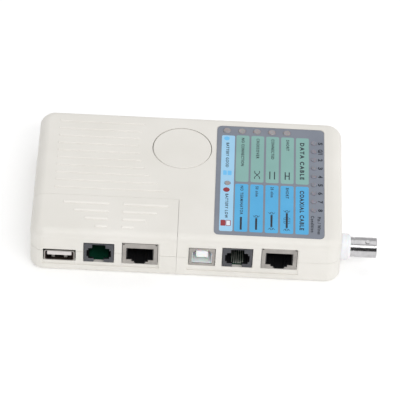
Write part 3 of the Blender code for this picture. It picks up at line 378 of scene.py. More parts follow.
# Zinc-plated steel screws: pale grey metal, lightly dulled.
zinc_plate = surface("zinc_plated_screw", "#BFC1C4", "#9FA1A6", (0.30, 0.46), 0.35, 0.006, 2, Metallic=1.0)
# Glass-filled PBT connector bodies: near black or charcoal with a dull sheen, or clean white. The near black
# also stands as painted shade on the inner faces of the six-way sockets.
black_pbt_and_painted_shade = surface("pbt_black_and_painted_shade", "#17171A", "#0D0D10", (0.42, 0.56), 0.4, 0.008, 4, IOR=1.55)
charcoal_pbt = surface("charcoal_pbt_moulded", "#47484E", "#3D3E44", (0.42, 0.56), 0.4, 0.010, 5, IOR=1.55)
# The clean white is the insert's own colour, lifted to nearly full white as painted light for its floor,
# which lies in the mouth's shade.
white_pbt_painted_light = surface(
    "pbt_white_painted_light", "#FBFBFB", "#F4F5F5", (0.30, 0.42), 0.4, 0.005, 6, IOR=1.55,
    Subsurface_Weight=0.4, Subsurface_Scale=0.002,
)
# The flat port's tongue is an older, duller white.
tongue_pbt = surface("tongue_pbt_moulded", "#E0DAD8", "#D6D0CE", (0.34, 0.46), 0.4, 0.005, 6, IOR=1.55)
# Acetal collar: brighter and cooler than the case, with a waxy gloss.
white_acetal = surface(
    "white_acetal_moulded", "#F3F4F6", "#ECEDF0", (0.28, 0.38), 0.5, 0.005, 6, IOR=1.48,
    Subsurface_Weight=0.15, Subsurface_Scale=0.001,
)
# Turned PTFE: dead white, soft and waxy.
ptfe_turned = surface(
    "ptfe_turned", "#EFEEE8", "#E4E2DA", (0.42, 0.52), 0.35, 0.006, 3, (1, 0.1, 0.1), IOR=1.38
)
# Green solder mask over woven glass laminate: deep green, glossy, a little uneven.
solder_mask = surface("solder_mask_green", "#14503A", "#0E3F2D", (0.25, 0.38), 0.7, 0.008, 6, IOR=1.55)
# Epoxy moulding compound of chips and resistor packs: dull grey-black.
chip_epoxy = surface("chip_moulding_compound", "#26262A", "#1C1C1F", (0.50, 0.64), 0.25, 0.008, 4, IOR=1.55)
# Switch body in nylon: dark grey, softly dull.
dark_nylon = surface("dark_nylon_moulded", "#3A3B40", "#303136", (0.40, 0.52), 0.4, 0.006, 4, IOR=1.53)
# PVC insulation on the battery leads: strong colour with a soft shine.
red_pvc = surface("red_pvc_insulation", "#B3231F", "#9F1B19", (0.35, 0.46), 0.4, 0.005, 4, IOR=1.54)
black_pvc = surface("black_pvc_insulation", "#1E1E20", "#151517", (0.35, 0.46), 0.4, 0.005, 4, IOR=1.54)
# Lacquered tinplate sleeve of the battery: plain slate blue, with a pale grey band at its terminal end.
battery_sleeve = surface(
    "tinplate_sleeve_slate_lacquer", "#4A5B70", "#405063", (0.24, 0.34), 0.6, 0.003, 9, IOR=1.5
)
battery_band = surface(
    "tinplate_sleeve_grey_lacquer", "#B4B8BD", "#A7ABB0", (0.26, 0.36), 0.6, 0.003, 9, IOR=1.5
)


def placed(piece, material, node=None, body=None):
    """Gives a piece its finish and its body. With a node, it stands for that CAD solid."""
    piece.data.materials.clear()
    piece.data.materials.append(material)
    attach(piece, body or body_of[node])
    if node:
        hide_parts(node)
    return piece


def refaced(piece, material, chosen):
    """A second finish on the faces that a test picks by their middle, in millimetres."""
    piece.data.materials.append(material)
    index = len(piece.data.materials) - 1
    for face in piece.data.polygons:
        if chosen(face.center / MM):
            face.material_index = index
    return piece


# ---- the two cases


def near(x, y):
    """A test for the upright edge at a corner in plan."""
    return lambda a, b: along("Z")(a, b) and abs(a.x - x) < 0.01 and abs(a.y - y) < 0.01


def whole_body(name):
    """The outline of both units together, with its rounded top and bottom edges."""
    body = block((LEFT, FRONT, 0), (RIGHT, BACK, TOP), name)
    rounded(body, along("Z"), CORNER, 12)
    # The rounding is wider on the ends than on the front, so it is bevelled on a stretched copy of itself.
    stretch = Vector((ROUND_TOP / ROUND_SIDE, ROUND_TOP / ROUND_FRONT, 1))
    body.scale = stretch
    settled(name)
    rounded(body, level(TOP), ROUND_TOP, 8)
    alone(body)
    body.scale = Vector([1 / s for s in stretch])
    settled(name)
    return rounded(body, level(0), ROUND_BOTTOM, 5)


def plan(unit, inset, low, high, dock_wall=0.0):
    """A straight-sided solid of one unit's outline, drawn in from its faces."""
    corner = CORNER - inset
    left, right, front, back = LEFT + inset, RIGHT - inset, FRONT + inset, BACK - inset
    if unit == "remote":
        solid = block((left, front, low), (REMOTE_X - inset, REMOTE_Y - inset, high))
        return rounded(solid, near(left, front), corner)
    solid = block((MAIN_X + inset, front, low), (right, back, high))
    rounded(solid, near(right, front), corner)
    rounded(solid, near(right, back), corner)
    strip = block((left, MAIN_Y + max(inset, dock_wall), low), (right - CORNER, back, high))
    return added(solid, rounded(strip, near(left, back), corner))


def corner_of_remote(x, y):
    """A block over the front left corner, as far as the seam."""
    return block((LEFT - 9, FRONT - 9, -9), (x, y, TOP + 9))


def port_tools(*sockets):
    """Cutters for the square holes in the front wall, each for a socket's middle, base and size."""
    return [
        block(
            (x - wide / 2 - PORT_ROOM, FRONT - 5, base - PORT_ROOM),
            (x + wide / 2 + PORT_ROOM, FRONT + 4, base + high + PORT_ROOM),
        )
        for x, base, (wide, high) in sockets
    ]


def main_ports():
    return port_tools(
        (SQUARE_X, MAIN_BOARD, SQUARE_SIZE),
        (MAIN_PLAIN_X, MAIN_BOARD, PLAIN_SIZE),
        (MAIN_SHIELDED_X, MAIN_BOARD, SHIELDED_SIZE),
    )


def remote_ports():
    return port_tools(
        (REMOTE_PLAIN_X, REMOTE_BOARD, PLAIN_SIZE),
        (REMOTE_SHIELDED_X, REMOTE_BOARD, SHIELDED_SIZE),
        (FLAT_X, FLAT_HOLE_BASE, FLAT_SIZE),
    )


def panel(ends):
    """A cutter for the shallow recess that a unit's sockets stand in."""
    return block((ends[0], FRONT - 5, PANEL_HEIGHT[0]), (ends[1], PORT_FACE, PANEL_HEIGHT[1]))


def ribs(rows, width, height):
    """Moulded ribs with soft crests, each a row of (left end, right end, y)."""
    made = []
    for left, right, y in rows:
        low, high = (left, y - width / 2, TOP - 0.8), (right, y + width / 2, TOP + height)
        made.append(rounded(block(low, high), level(TOP + height), height * 0.8, 3))
    return joined(*made)


def crested(shell, finish):
    """Gives the ribs on a top case their paler material, a painted highlight, with a smoother finish."""
    return refaced(shell, finish, lambda at: at.z > TOP + 0.02)


def long_rib_rows():
    """Ten ribs whose right ends follow one large arc beside the button."""
    rows = []
    for k in range(10):
        y = FIRST_RIB_Y - RIB_PITCH * k
        right = RIB_ARC_X - math.sqrt(RIB_ARC_RADIUS**2 - (y - RIB_ARC_Y) ** 2)
        rows.append((LONG_RIB_LEFT, right, y))
    return rows


def short_rib_rows():
    """Two fans of four grip ribs, which narrow towards the ports."""
    rows = []
    for k in range(4):
        y, reach = FIRST_RIB_Y - RIB_PITCH * (11 + k), 24.7 - 5.2 * k
        rows += [(FAN_X - reach, -37.0, y), (-30.2, FAN_X + reach, y)]
    return rows


def lamp_places():
    """Every lamp's node, with its place and lens radius."""
    places = {
        "lamp_shield": (PIN_LAMP_X, PIN_LAMP_Y, PIN_LAMP_RADIUS),
        "lamp_battery_low": (*LOW_BATTERY_LAMP, PIN_LAMP_RADIUS),
    }
    for k in range(1, 9):
        places[f"lamp_pin_{k}"] = (PIN_LAMP_X, PIN_LAMP_Y - PIN_LAMP_PITCH * k, PIN_LAMP_RADIUS)
    for k, use in enumerate(("battery_good", "no_connection", "crossover", "connected", "short")):
        x = STATUS_LAMP_X + STATUS_LAMP_PITCH * k
        places["lamp_" + use] = (x, STATUS_LAMP_Y, STATUS_LAMP_RADIUS)
    return places


def lamp_tools(clearance, low):
    """One cutter for all the lamps' holes."""
    places = lamp_places().values()
    return joined(*(rod(r + clearance, low, TOP + 2, (x, y), sides=40) for x, y, r in places))


def screw_wells(screws, radius):
    """Cutters for the wells that the screws' heads sit in, and for their threads."""
    wells = [rod(radius, -4, SCREW_SEAT, place, sides=32) for place in screws]
    return wells + [rod(1.6, 4, 11, place, sides=24) for place in screws]


def upper_shell(name, unit):
    """The top case of either unit, hollow, with room for the lower case's lip."""
    shell = whole_body(name)
    kept(shell, block((LEFT - 5, FRONT - 5, PARTING + PARTING_GAP / 2), (RIGHT + 5, BACK + 5, TOP + 5)))
    cut(shell, plan(unit, LIP_OUTER - 0.3, 5, LIP_TOP + 0.3))
    return cut(shell, plan(unit, INNER_WALL, 5, TOP - WALL))


def lower_shell(name, unit, dock_wall=0.0):
    """The bottom case of either unit, with its lip."""
    shell = whole_body(name)
    kept(shell, block((LEFT - 5, FRONT - 5, -5), (RIGHT + 5, BACK + 5, PARTING - PARTING_GAP / 2)))
    if unit == "main":
        cut(shell, corner_of_remote(*MAIN_BOTTOM))
    else:
        kept(shell, corner_of_remote(*REMOTE_BOTTOM))
    added(shell, plan(unit, LIP_OUTER, PARTING - 2, LIP_TOP))
    return cut(shell, plan(unit, WALL, WALL, TOP, dock_wall))


def main_top_shell():
    shell = upper_shell("main_top_shell", "main")
    cut(shell, corner_of_remote(MAIN_X, MAIN_Y))
    added(shell, cut(rod(15.75, 21, 24, BUTTON, sides=96), rod(13, 20, 25, BUTTON, sides=96)))
    cut(shell, rod(BUTTON_RADIUS + 0.3, 15, 30, BUTTON, sides=96))
    recess = block((12.5, -38.65, TOP - 0.5), (64.3, 36.3, TOP + 2))
    cut(shell, rounded(recess, along("Z"), 2.4, 8), lamp_tools(0.2, TOP - 4))
    cut(shell, panel(MAIN_PANEL), *main_ports(), rod(6.5, RIGHT - 4, RIGHT + 4, (BNC_Y, BNC_Z), "X", 64))
    eased(shell, 0.09)
    added(shell, ribs(long_rib_rows(), 1.0, 0.42))
    return crested(placed(eased(shell, 0), ivory_abs, "main_top_case"), long_rib_painted_highlight)


def main_bottom_shell():
    shell = lower_shell("main_bottom_shell", "main", DOCK_WALL)
    added(shell, *(rod(3.6, 1, SCREW_SEAT + 3.2, place, sides=32) for place in CASE_SCREWS))
    cut(shell, *screw_wells(CASE_SCREWS, 3.0))
    cut(shell, block((LEFT - 5, 0.8, -5), (-14.1, 28.7, WALL + 0.1)))
    cut(shell, block((LEFT - 5, -0.4, 0.7), (-14.1, 29.9, WALL + 0.1)))
    cut(shell, *(block((x - 5.3, REMOTE_Y - 1, 4.7), (x + 5.3, REMOTE_Y + 3.0, 9.3)) for x in TONGUES))
    cut(shell, panel(MAIN_PANEL), *main_ports(), rod(6.5, RIGHT - 4, RIGHT + 4, (BNC_Y, BNC_Z), "X", 64))
    return placed(eased(shell), ivory_abs, "main_bottom_case")


def remote_top_shell():
    shell = upper_shell("remote_top_shell", "remote")
    kept(shell, corner_of_remote(REMOTE_X, REMOTE_Y))
    cut(shell, panel(REMOTE_PANEL), *remote_ports())
    eased(shell, 0.09)
    added(shell, ribs(short_rib_rows(), 1.3, 0.5))
    return crested(placed(eased(shell, 0), ivory_abs, "remote_top_case"), grip_rib_painted_highlight)


def remote_bottom_shell():
    shell = lower_shell("remote_bottom_shell", "remote")
    added(shell, *(block((x - 5, REMOTE_Y - 1, 5), (x + 5, REMOTE_Y + 2.7, 9)) for x in TONGUES))
    added(shell, *(rod(3.4, 1, SCREW_SEAT + 3.2, place, sides=32) for place in REMOTE_SCREWS))
    cut(shell, *screw_wells(REMOTE_SCREWS, 2.8))
    cut(shell, panel(REMOTE_PANEL), *remote_ports())
    return placed(eased(shell), ivory_abs, "remote_bottom_case")


def battery_door():
    """The sliding cover, with its two wings and a ribbed thumb pad."""
    door = whole_body("battery_door")
    kept(door, block((LEFT - 5, 1.1, -5), (-14.4, 28.4, 2.0)))
    added(door, block((LEFT + 3, -0.1, 1.0), (-14.4, 29.6, 2.0)))
    cut(door, *(block((-62 + 2.4 * k, 7.75, -1), (-60.8 + 2.4 * k, 21.75, 0.5)) for k in range(6)))
    return placed(eased(door), ivory_abs, "battery_cover")


def button_cap():
    """The round cap with its soft edge, its keeping flange and the stem to the switch."""
    cap = rounded(rod(BUTTON_RADIUS, 20, 25.1, BUTTON, sides=96, name="button_cap"), level(25.1), 0.5, 4)
    added(cap, rod(15.3, 19.6, 20.7, BUTTON, sides=96))
    cut(cap, rod(12.35, 19, 22.9, BUTTON, sides=64))
    added(cap, rod(2.2, 12.95, 24, BUTTON, sides=32))
    return placed(eased(cap, 0.1), ivory_abs, "test_button")


# ---- label and lamps


def card(low, high, bottom, top, corner, name="tool"):
    """A thin printed shape with rounded corners."""
    plate = block((*low, bottom), (*high, top), name)
    return rounded(plate, along("Z"), corner, 5) if corner else plate


def label_film():
    film = card((12.7, -38.45), (64.1, 36.1), 24.6, LABEL_TOP, 2.4, "label_film")
    cut(film, lamp_tools(0.04, 20))
    return placed(eased(film, 0), overlay_grey, "label")


def printed(pieces, name, ink):
    """One ink's shapes, laid on the film."""
    layer = joined(*pieces)
    layer.name = name
    placed(layer, ink, body="main_unit")
    return layer


COLUMNS = (22.0, 29.15, 36.3, 43.45, 50.6)
COLUMN_WIDTH = 6.2
FIELD_TOP, PRINT_TOP = LABEL_TOP + 0.03, LABEL_TOP + 0.05
# Sizes of lettering, each its height in millimetres and how much its strokes are thickened.
SMALL, NOTE, TITLE, PIN_NUMBER = (1.35, 0.035), (1.5, 0.035), (1.9, 0.06), (2.0, 0.05)


def fields():
    """The coloured fields: sage for data cables, blue for coaxial ones, pale blue for the battery."""
    for name, low, high, ink in (("sage", -2.3, 30.0, ink_green), ("blue", -36.0, -3.8, ink_blue)):
        cards = [card((x, low), (x + COLUMN_WIDTH, high), LABEL_TOP - 0.02, FIELD_TOP, 0.9) for x in COLUMNS]
        printed(cards, "label_fields_" + name, ink)
    strip = card((15.0, -36.1), (21.3, 29.6), LABEL_TOP - 0.02, FIELD_TOP, 0.9)
    cut(strip, rod(1.49, 20, 30, LOW_BATTERY_LAMP, sides=32))
    printed([strip], "label_fields_battery", ink_pale_blue)


def legend(words, x, start, end, height, weight):
    """A line of lettering that reads towards the front, set to run exactly from start to end."""
    deselect()
    bpy.ops.object.text_add(location=(0, 0, 0))
    text = bpy.context.object
    text.data.body = words
    text.data.size = height / 0.7 * MM
    text.data.align_y = "CENTER"
    text.data.resolution_u = 3
    text.data.offset = weight * height * MM
    bpy.context.view_layer.update()
    text.data.space_character = min(1.4, max(1.0, (start - end) * MM / text.dimensions.x))
    text.data.extrude = (PRINT_TOP - LABEL_TOP) / 2 * MM
    bpy.ops.object.convert(target="MESH")
    line = bpy.context.object
    ends, heights, _ = zip(*(vertex.co for vertex in line.data.vertices))
    reach = (start - end) * MM / (max(ends) - min(ends))
    line.scale = (reach, 1, 1)
    line.location = (-min(ends) * reach, -(max(heights) + min(heights)) / 2, 0)
    settled("tool")
    line.rotation_euler = (0, 0, -math.pi / 2)
    line.location = (x * MM, start * MM, (LABEL_TOP + PRINT_TOP) / 2 * MM)
    return settled("tool")


def bar(x, y0, y1, width):
    """A printed stroke that runs towards the front."""
    low, high = (x - width / 2, min(y0, y1)), (x + width / 2, max(y0, y1))
    return card(low, high, LABEL_TOP, PRINT_TOP, 0)


def slanted(x, y, length, width, turn, lift=0.0):
    """A printed stroke at an angle, about its middle. lift keeps it clear above a stroke that it crosses."""
    stroke = card((-width / 2, -length / 2), (width / 2, length / 2), LABEL_TOP, PRINT_TOP + lift, 0)
    stroke.rotation_euler = (0, 0, math.radians(turn))
    stroke.location = (x * MM, y * MM, 0)
    alone(stroke)
    return settled("tool")


def ring(x, y, radius, width):
    """A small printed circle, the end of a coaxial cable."""
    disc = rod(radius, LABEL_TOP, PRINT_TOP, (x, y), sides=24)
    return cut(disc, rod(radius - width, LABEL_TOP - 1, PRINT_TOP + 1, (x, y), sides=24))


def middle(column):
    """The middle of a column of fields."""
    return COLUMNS[column] + COLUMN_WIDTH / 2


def legends():
    """All the dark print: the lettering, and the pictures of cables."""
    dark = []
    for words, column, start, end in (
        ("NO CONNECTION", 0, 28.2, 8.6),
        ("CROSSOVER", 1, 28.2, 14.2),
        ("CONNECTED", 2, 28.2, 14.2),
        ("SHORT", 3, 28.2, 20.6),
        ("NO TERMINATOR", 0, -5.1, -24.6),
        ("50 ohm", 1, -5.0, -12.0),
        ("25 ohm", 2, -5.0, -12.0),
        ("SHORT", 3, -5.0, -12.4),
    ):
        dark.append(legend(words, middle(column) + 0.1, start, end, *SMALL))
    dark.append(legend("DATA CABLE", middle(4) - 0.1, 26.6, 1.0, *TITLE))
    dark.append(legend("COAXIAL CABLE", middle(4) - 0.1, -6.6, -33.2, *TITLE))
    dark.append(legend("BATTERY GOOD", 17.9, 24.4, 7.2, *SMALL))
    dark.append(legend("BATTERY LOW", 18.2, -11.0, -27.4, *SMALL))
    for word, (_, y, _) in zip(["S", "G/1", *"2345678"], pin_lamps()):
        wide = 1.7 if len(word) == 1 else 3.5
        dark.append(legend(word, 62.3, y + wide / 2, y - wide / 2, *PIN_NUMBER))
    dark.append(legend("Pin / Wires", 61.7, -23.8, -35.4, *NOTE))
    dark.append(legend("Condition", 58.6, -23.4, -34.2, *NOTE))
    # Crossed pair, straight pair and bridged pair.
    x = middle(1)
    for side in (-1, 1):
        dark.append(slanted(x, 2.8, 3.6, 0.35, 38 * side, 0.006 + 0.006 * side))
        dark += [bar(x + side * 1.15, 5.6, 4.25, 0.35), bar(x + side * 1.15, 1.35, 0.1, 0.35)]
        dark.append(bar(middle(2) + side * 1.1, 5.6, 0.3, 0.5))
        dark.append(bar(middle(3) + side * 0.95, 5.6, 0.4, 0.5))
    dark.append(slanted(middle(3), 3.0, 2.2, 0.6, 90, 0.006))
    # The coaxial cable's core, with a terminator at neither end, at one, at both, or with a burst across it.
    for column, low, high, ends in (
        (0, -34.7, -26.2, ()),
        (1, -34.3, -26.6, (1,)),
        (2, -32.0, -24.0, (1, -1)),
        (3, -32.2, -22.3, (1, -1)),
    ):
        x = middle(column)
        dark.append(bar(x, low, high, 0.95))
        for end in ends:
            y = high + 1.2 if end == 1 else low - 1.2
            dark.append(ring(x, y, 0.75, 0.25))
            for side in (-1, 1):
                dark.append(slanted(x + side * 1.15, y, 1.3, 0.22, -35 * side * end))
    for k in range(4):
        for side in (-1, 1):
            dark.append(slanted(middle(3) + side * 1.1, -25.6 - 1.1 * k, 1.1, 0.25, side * (60 + 20 * k)))
    printed(dark, "label_legends", ink_dark)


def pin_lamps():
    """The lamps beside the pin numbers, from the back to the front."""
    places = lamp_places()
    return [places["lamp_shield"], *(places[f"lamp_pin_{k}"] for k in range(1, 9))]


def battery_marks():
    """The sky-blue dot and cell of a good battery, and the red ones of a low battery."""
    dot = rod(1.35, LABEL_TOP, PRINT_TOP, (17.4, 27.4), sides=32)
    halves = ((16.1, 17.8), (18.2, 20.1))
    cell = [card((left, 1.9), (right, 4.9), LABEL_TOP, PRINT_TOP, 0.3) for left, right in halves]
    printed([dot, *cell], "label_battery_good_mark", ink_sky)
    dot = rod(1.55, LABEL_TOP, PRINT_TOP, (17.9, -8.2), sides=32)
    outline = card((18.0, -32.6), (20.4, -28.7), LABEL_TOP, PRINT_TOP, 0.6)
    cut(outline, card((18.3, -32.25), (20.1, -29.05), LABEL_TOP - 1, PRINT_TOP + 1, 0.3))
    half = card((15.6, -32.6), (17.9, -28.7), LABEL_TOP, PRINT_TOP, 0.3)
    printed([dot, outline, half], "label_battery_low_mark", ink_red)
    empty = card((18.35, -32.2), (20.05, -29.1), LABEL_TOP, PRINT_TOP - 0.005, 0)
    printed([empty], "label_cell_empty_half", ink_white)


def lamp_body(name, x, y, radius):
    """A lamp: a domed lens that stands just proud of the label, a flange and two long legs."""
    lens = rod(radius, 19, 25.3, (x, y), sides=40, name=name)
    rounded(lens, level(25.3), radius * 0.35, 6)
    added(lens, rod(radius + 0.35, 19.1, 20.1, (x, y), sides=40))
    for side in (-1.27, 1.27):
        added(lens, block((x + side - 0.25, y - 0.25, MAIN_BOARD), (x + side + 0.25, y + 0.25, 19.5)))
    return eased(lens, 0)


def lamps():
    """Two sizes of lamp, each made once and copied."""
    first = {}
    for node, (x, y, radius) in lamp_places().items():
        if radius not in first:
            lens = lamp_body(node + "_lens", x, y, radius)
            first[radius] = (lens, x, y)
        else:
            original, x0, y0 = first[radius]
            lens = copied(original, node + "_lens", (x - x0, y - y0, 0))
        placed(lens, smoky_epoxy if "pin" in node or "shield" in node else lens_epoxy, node)


# ---- sockets


def mouth(x, base, near_end, far_end, steps):
    """Cutters for a stepped mouth, each step a half width, a bottom and a top above the socket's base."""
    return [
        block((x - half, near_end, base + bottom), (x + half, far_end, base + top))
        for half, bottom, top in steps
    ]


def modular_shielded(unit, x, base):
    """The eight-way socket: a folded shield round a black insert with a stepped mouth."""
    low, high = Vector((x - 8.2, PORT_FACE, base)), Vector((x + 8.2, PORT_FACE + 21, base + 12.9))
    shield = rounded(block(low, high, unit + "_socket_shield"), along("Y"), 0.45, 4)
    cut(shield, block(low + Vector((0.4, 0.4, -1)), high + Vector((-0.4, 1, -0.4))))
    # Pressed steps for the plug and its latch, and two relief holes in the upper corners.
    steps = ((6.4, 2.5, 9.9), (3.9, 1.3, 4), (2.7, -1, 2))
    cut(shield, *mouth(x, base, PORT_FACE - 1, PORT_FACE + 1, steps))
    for side in (-1, 1):
        cut(shield, rod(0.42, PORT_FACE - 1, PORT_FACE + 1, (x + side * 7.6, base + 12.3), "Y", 16))
        # The spring that grips the plug's shield shows at each side as a raised pad.
        spring = block(
            (x + side * 7.0 - 0.5, PORT_FACE - 0.18, base + 5.0),
            (x + side * 7.0 + 0.5, PORT_FACE + 0.2, base + 8.4),
        )
        added(shield, rounded(spring, before(PORT_FACE), 0.15, 2))
    placed(eased(shield, 0.08), tinned_steel, unit + "_rj45_shield")
    insert = block(
        low + Vector((0.5, 0.5, 0)), Vector((x + 7.7, PORT_FACE + 20, base + 12.4)), unit + "_socket_insert"
    )
    nose = block((x - 2.1, PORT_FACE + 0.05, base), (x + 2.1, PORT_FACE + 1, base + 0.35))
    added(insert, nose)
    steps = ((5.9, 2.6, 9.9), (3.6, 1.4, 4), (2.4, 0.3, 2))
    cut(insert, *mouth(x, base, PORT_FACE - 1, PORT_FACE + 15, steps))
    cut(insert, block((x - 5, PORT_FACE + 2.8, base + 9), (x + 5, PORT_FACE + 14, base + 11.6)))
    placed(eased(insert, 0.1), black_pbt_and_painted_shade, unit + "_rj45_insert")


def modular_plain(unit, x, base):
    """The six-way socket, latch side up: a charcoal housing with a slot in its floor for the springs."""
    front = PORT_FACE - 0.3
    housing = block((x - 6.95, front, base), (x + 6.95, front + 17, base + 11.8), unit + "_plain_socket")
    rounded(housing, before(front + 0.1), 0.35, 4)
    slot = 3.2 if unit == "main" else 4.5
    steps = ((2.3, -1, 3), (4.9, 2.3, 9.0), (5.7, 3.6, 7.6), (3.1, 8, 11.25))
    cut(housing, *mouth(x, base, front - 1, PORT_FACE + 13, steps))
    cut(housing, block((x - slot, PORT_FACE + 0.9, base - 1), (x + slot, PORT_FACE + 13, base + 3)))
    placed(eased(housing, 0.12), charcoal_pbt, unit + "_rj11_housing")
    # Inside the mouth the charcoal housing's faces take the near black: painted shade in the socket.
    refaced(
        housing,
        black_pbt_and_painted_shade,
        lambda at: abs(at.x - x) < 5.9
        and base + 0.2 < at.z < base + 11.4
        and front + 1.2 < at.y < PORT_FACE + 13.2,
    )
    spring_wires(unit, x, base, *((1.25, 10.7, 4.75) if unit == "main" else (10.2, 11.6, 1.9)))


def spring_wires(unit, x, base, turn, end, rise):
    """Six wires along the socket's floor, which turn round in front and slope up to the back."""
    comb = block(
        (x - 2.8, PORT_FACE + 11.3, base + 0.35), (x + 2.8, PORT_FACE + 12.5, base + 1.15), unit + "_springs"
    )
    # Each point's way in from the port's face, and its height above the socket's base.
    route = (
        (12.0, 0.66),
        (turn + 1.6, 0.66),
        (turn + 0.6, 0.78),
        (turn + 0.3, 1.15),
        (turn + 0.6, 1.55),
        (end, rise - 0.3),
    )
    for k in range(6):
        deselect()
        bpy.ops.curve.primitive_bezier_curve_add()
        wire = bpy.context.object
        curve = wire.data
        curve.splines.clear()
        spline = curve.splines.new("POLY")
        spline.points.add(len(route) - 1)
        for point, (y, z) in zip(spline.points, route):
            point.co = ((x - 2.55 + 1.02 * k) * MM, (PORT_FACE + y) * MM, (base + z) * MM, 1)
        curve.bevel_depth = 0.29 * MM
        curve.bevel_resolution = 2
        curve.use_fill_caps = True
        bpy.ops.object.convert(target="MESH")
        comb = joined(comb, settled("wire"))
    # The wires' paler colour is painted light inside the dark socket.
    placed(eased(comb, 0), nickel_wire_painted_light, unit + "_rj11_contacts")


def modular_sockets():
    for unit, plain_x, shielded_x, base in (
        ("main", MAIN_PLAIN_X, MAIN_SHIELDED_X, MAIN_BOARD),
        ("remote", REMOTE_PLAIN_X, REMOTE_SHIELDED_X, REMOTE_BOARD),
    ):
        modular_shielded(unit, shielded_x, base)
        modular_plain(unit, plain_x, base)


def flat_port():
    """The flat port: a rolled shield with a flared lip, two springs in its floor, and a tongue."""
    x, z, front = FLAT_X, FLAT_BASE, PORT_FACE

    def inner_wall(at):
        on_spring = abs(abs(at.x - x) - 2.9) < 0.8 and at.z < z + 1.65
        return at.y > front + 0.1 and abs(at.x - x) < 6.72 and z + 0.04 < at.z < z + 5.66 and not on_spring

    shield = block((x - 6.55, front + 0.1, z), (x + 6.55, front + 14, z + 5.7), "flat_port_shield")
    rounded(shield, along("Y"), 0.8)
    lip = block((x - 7.2, front - 0.15, z - 0.3), (x + 7.2, front + 0.4, z + 6.0))
    added(shield, rounded(lip, along("Y"), 1.1))
    room = block((x - 6.25, front - 1, z + 0.3), (x + 6.25, front + 15, z + 5.4))
    cut(shield, rounded(room, along("Y"), 0.6))
    flare = block((x - 6.7, front - 1, z + 0.05), (x + 6.7, front + 0.2, z + 5.65))
    cut(shield, rounded(flare, along("Y"), 0.9))
    for side in (-2.9, 2.9):
        spring = block((x + side - 0.75, front + 1.3, z - 0.1), (x + side + 0.75, front + 5.2, z + 1.6))
        rounded(spring, lambda a, b: along("X")(a, b) and a.z > z + 1, 1.2, 5)
        added(shield, spring)
    placed(eased(shield, 0.08), tinned_steel, "usb_a_shield")
    # The inner walls take the darker steel: painted shade inside the port.
    refaced(shield, shield_inside_painted_shade, inner_wall)
    tongue = block((x - 5.7, front + 0.15, z + 2.8), (x + 5.7, front + 10.5, z + 5.2), "flat_port_tongue")
    rounded(tongue, before(front + 1), 0.2, 3)
    added(tongue, block((x - 6.0, front + 9.5, z + 0.6), (x + 6.0, front + 13.6, z + 5.25)))
    placed(eased(tongue, 0.1), tongue_pbt, "usb_a_tongue")
    pads = [
        block((x + k * 2.3 - 0.5, front + 1.6, z + 2.72), (x + k * 2.3 + 0.5, front + 9.4, z + 2.85))
        for k in (-1.5, -0.5, 0.5, 1.5)
    ]
    pads = joined(*pads)
    pads.name = "flat_port_contacts"
    placed(eased(pads, 0), gold_flash, body="remote_unit")


def keyed_bar(half, low, high, far_end, chamfer):
    """A cutter for the square port's mouth: two corners are cut off, so that a plug goes in one way round."""
    x, z, front = SQUARE_X, MAIN_BOARD, PORT_FACE
    cutter = block((x - half, front - 1, z + low), (x + half, front + far_end, z + high))
    crest = z + high - 0.01
    return rounded(cutter, lambda a, b: along("Y")(a, b) and a.z > crest, chamfer, 1)


def square_port():
    """The square port: a folded shield, and a white insert with a block in its middle."""
    x, z, front = SQUARE_X, MAIN_BOARD, PORT_FACE
    shield = block((x - 6.05, front, z), (x + 6.05, front + 16, z + 10.8), "square_port_shield")
    rounded(shield, along("Y"), 0.5, 4)
    cut(shield, block((x - 5.65, front + 0.4, z + 0.4), (x + 5.65, front + 17, z + 10.4)))
    cut(shield, keyed_bar(4.7, 1.2, 10.1, 1, 2.3))
    placed(eased(shield, 0.08), tinned_steel, "usb_b_shield")
    insert = block((x - 5.55, front + 0.5, z + 0.5), (x + 5.55, front + 15, z + 10.3), "square_port_insert")
    cut(insert, keyed_bar(4.4, 1.4, 9.9, 9.5, 2.2))
    tongue = block((x - 2.8, front + 1.0, z + 4.2), (x + 2.8, front + 10.5, z + 8.2))
    added(insert, rounded(tongue, before(front + 1.2), 0.2, 3))
    # The insert's near-full white is partly painted light for its shaded floor.
    placed(eased(insert, 0.12), white_pbt_painted_light, "usb_b_insert")


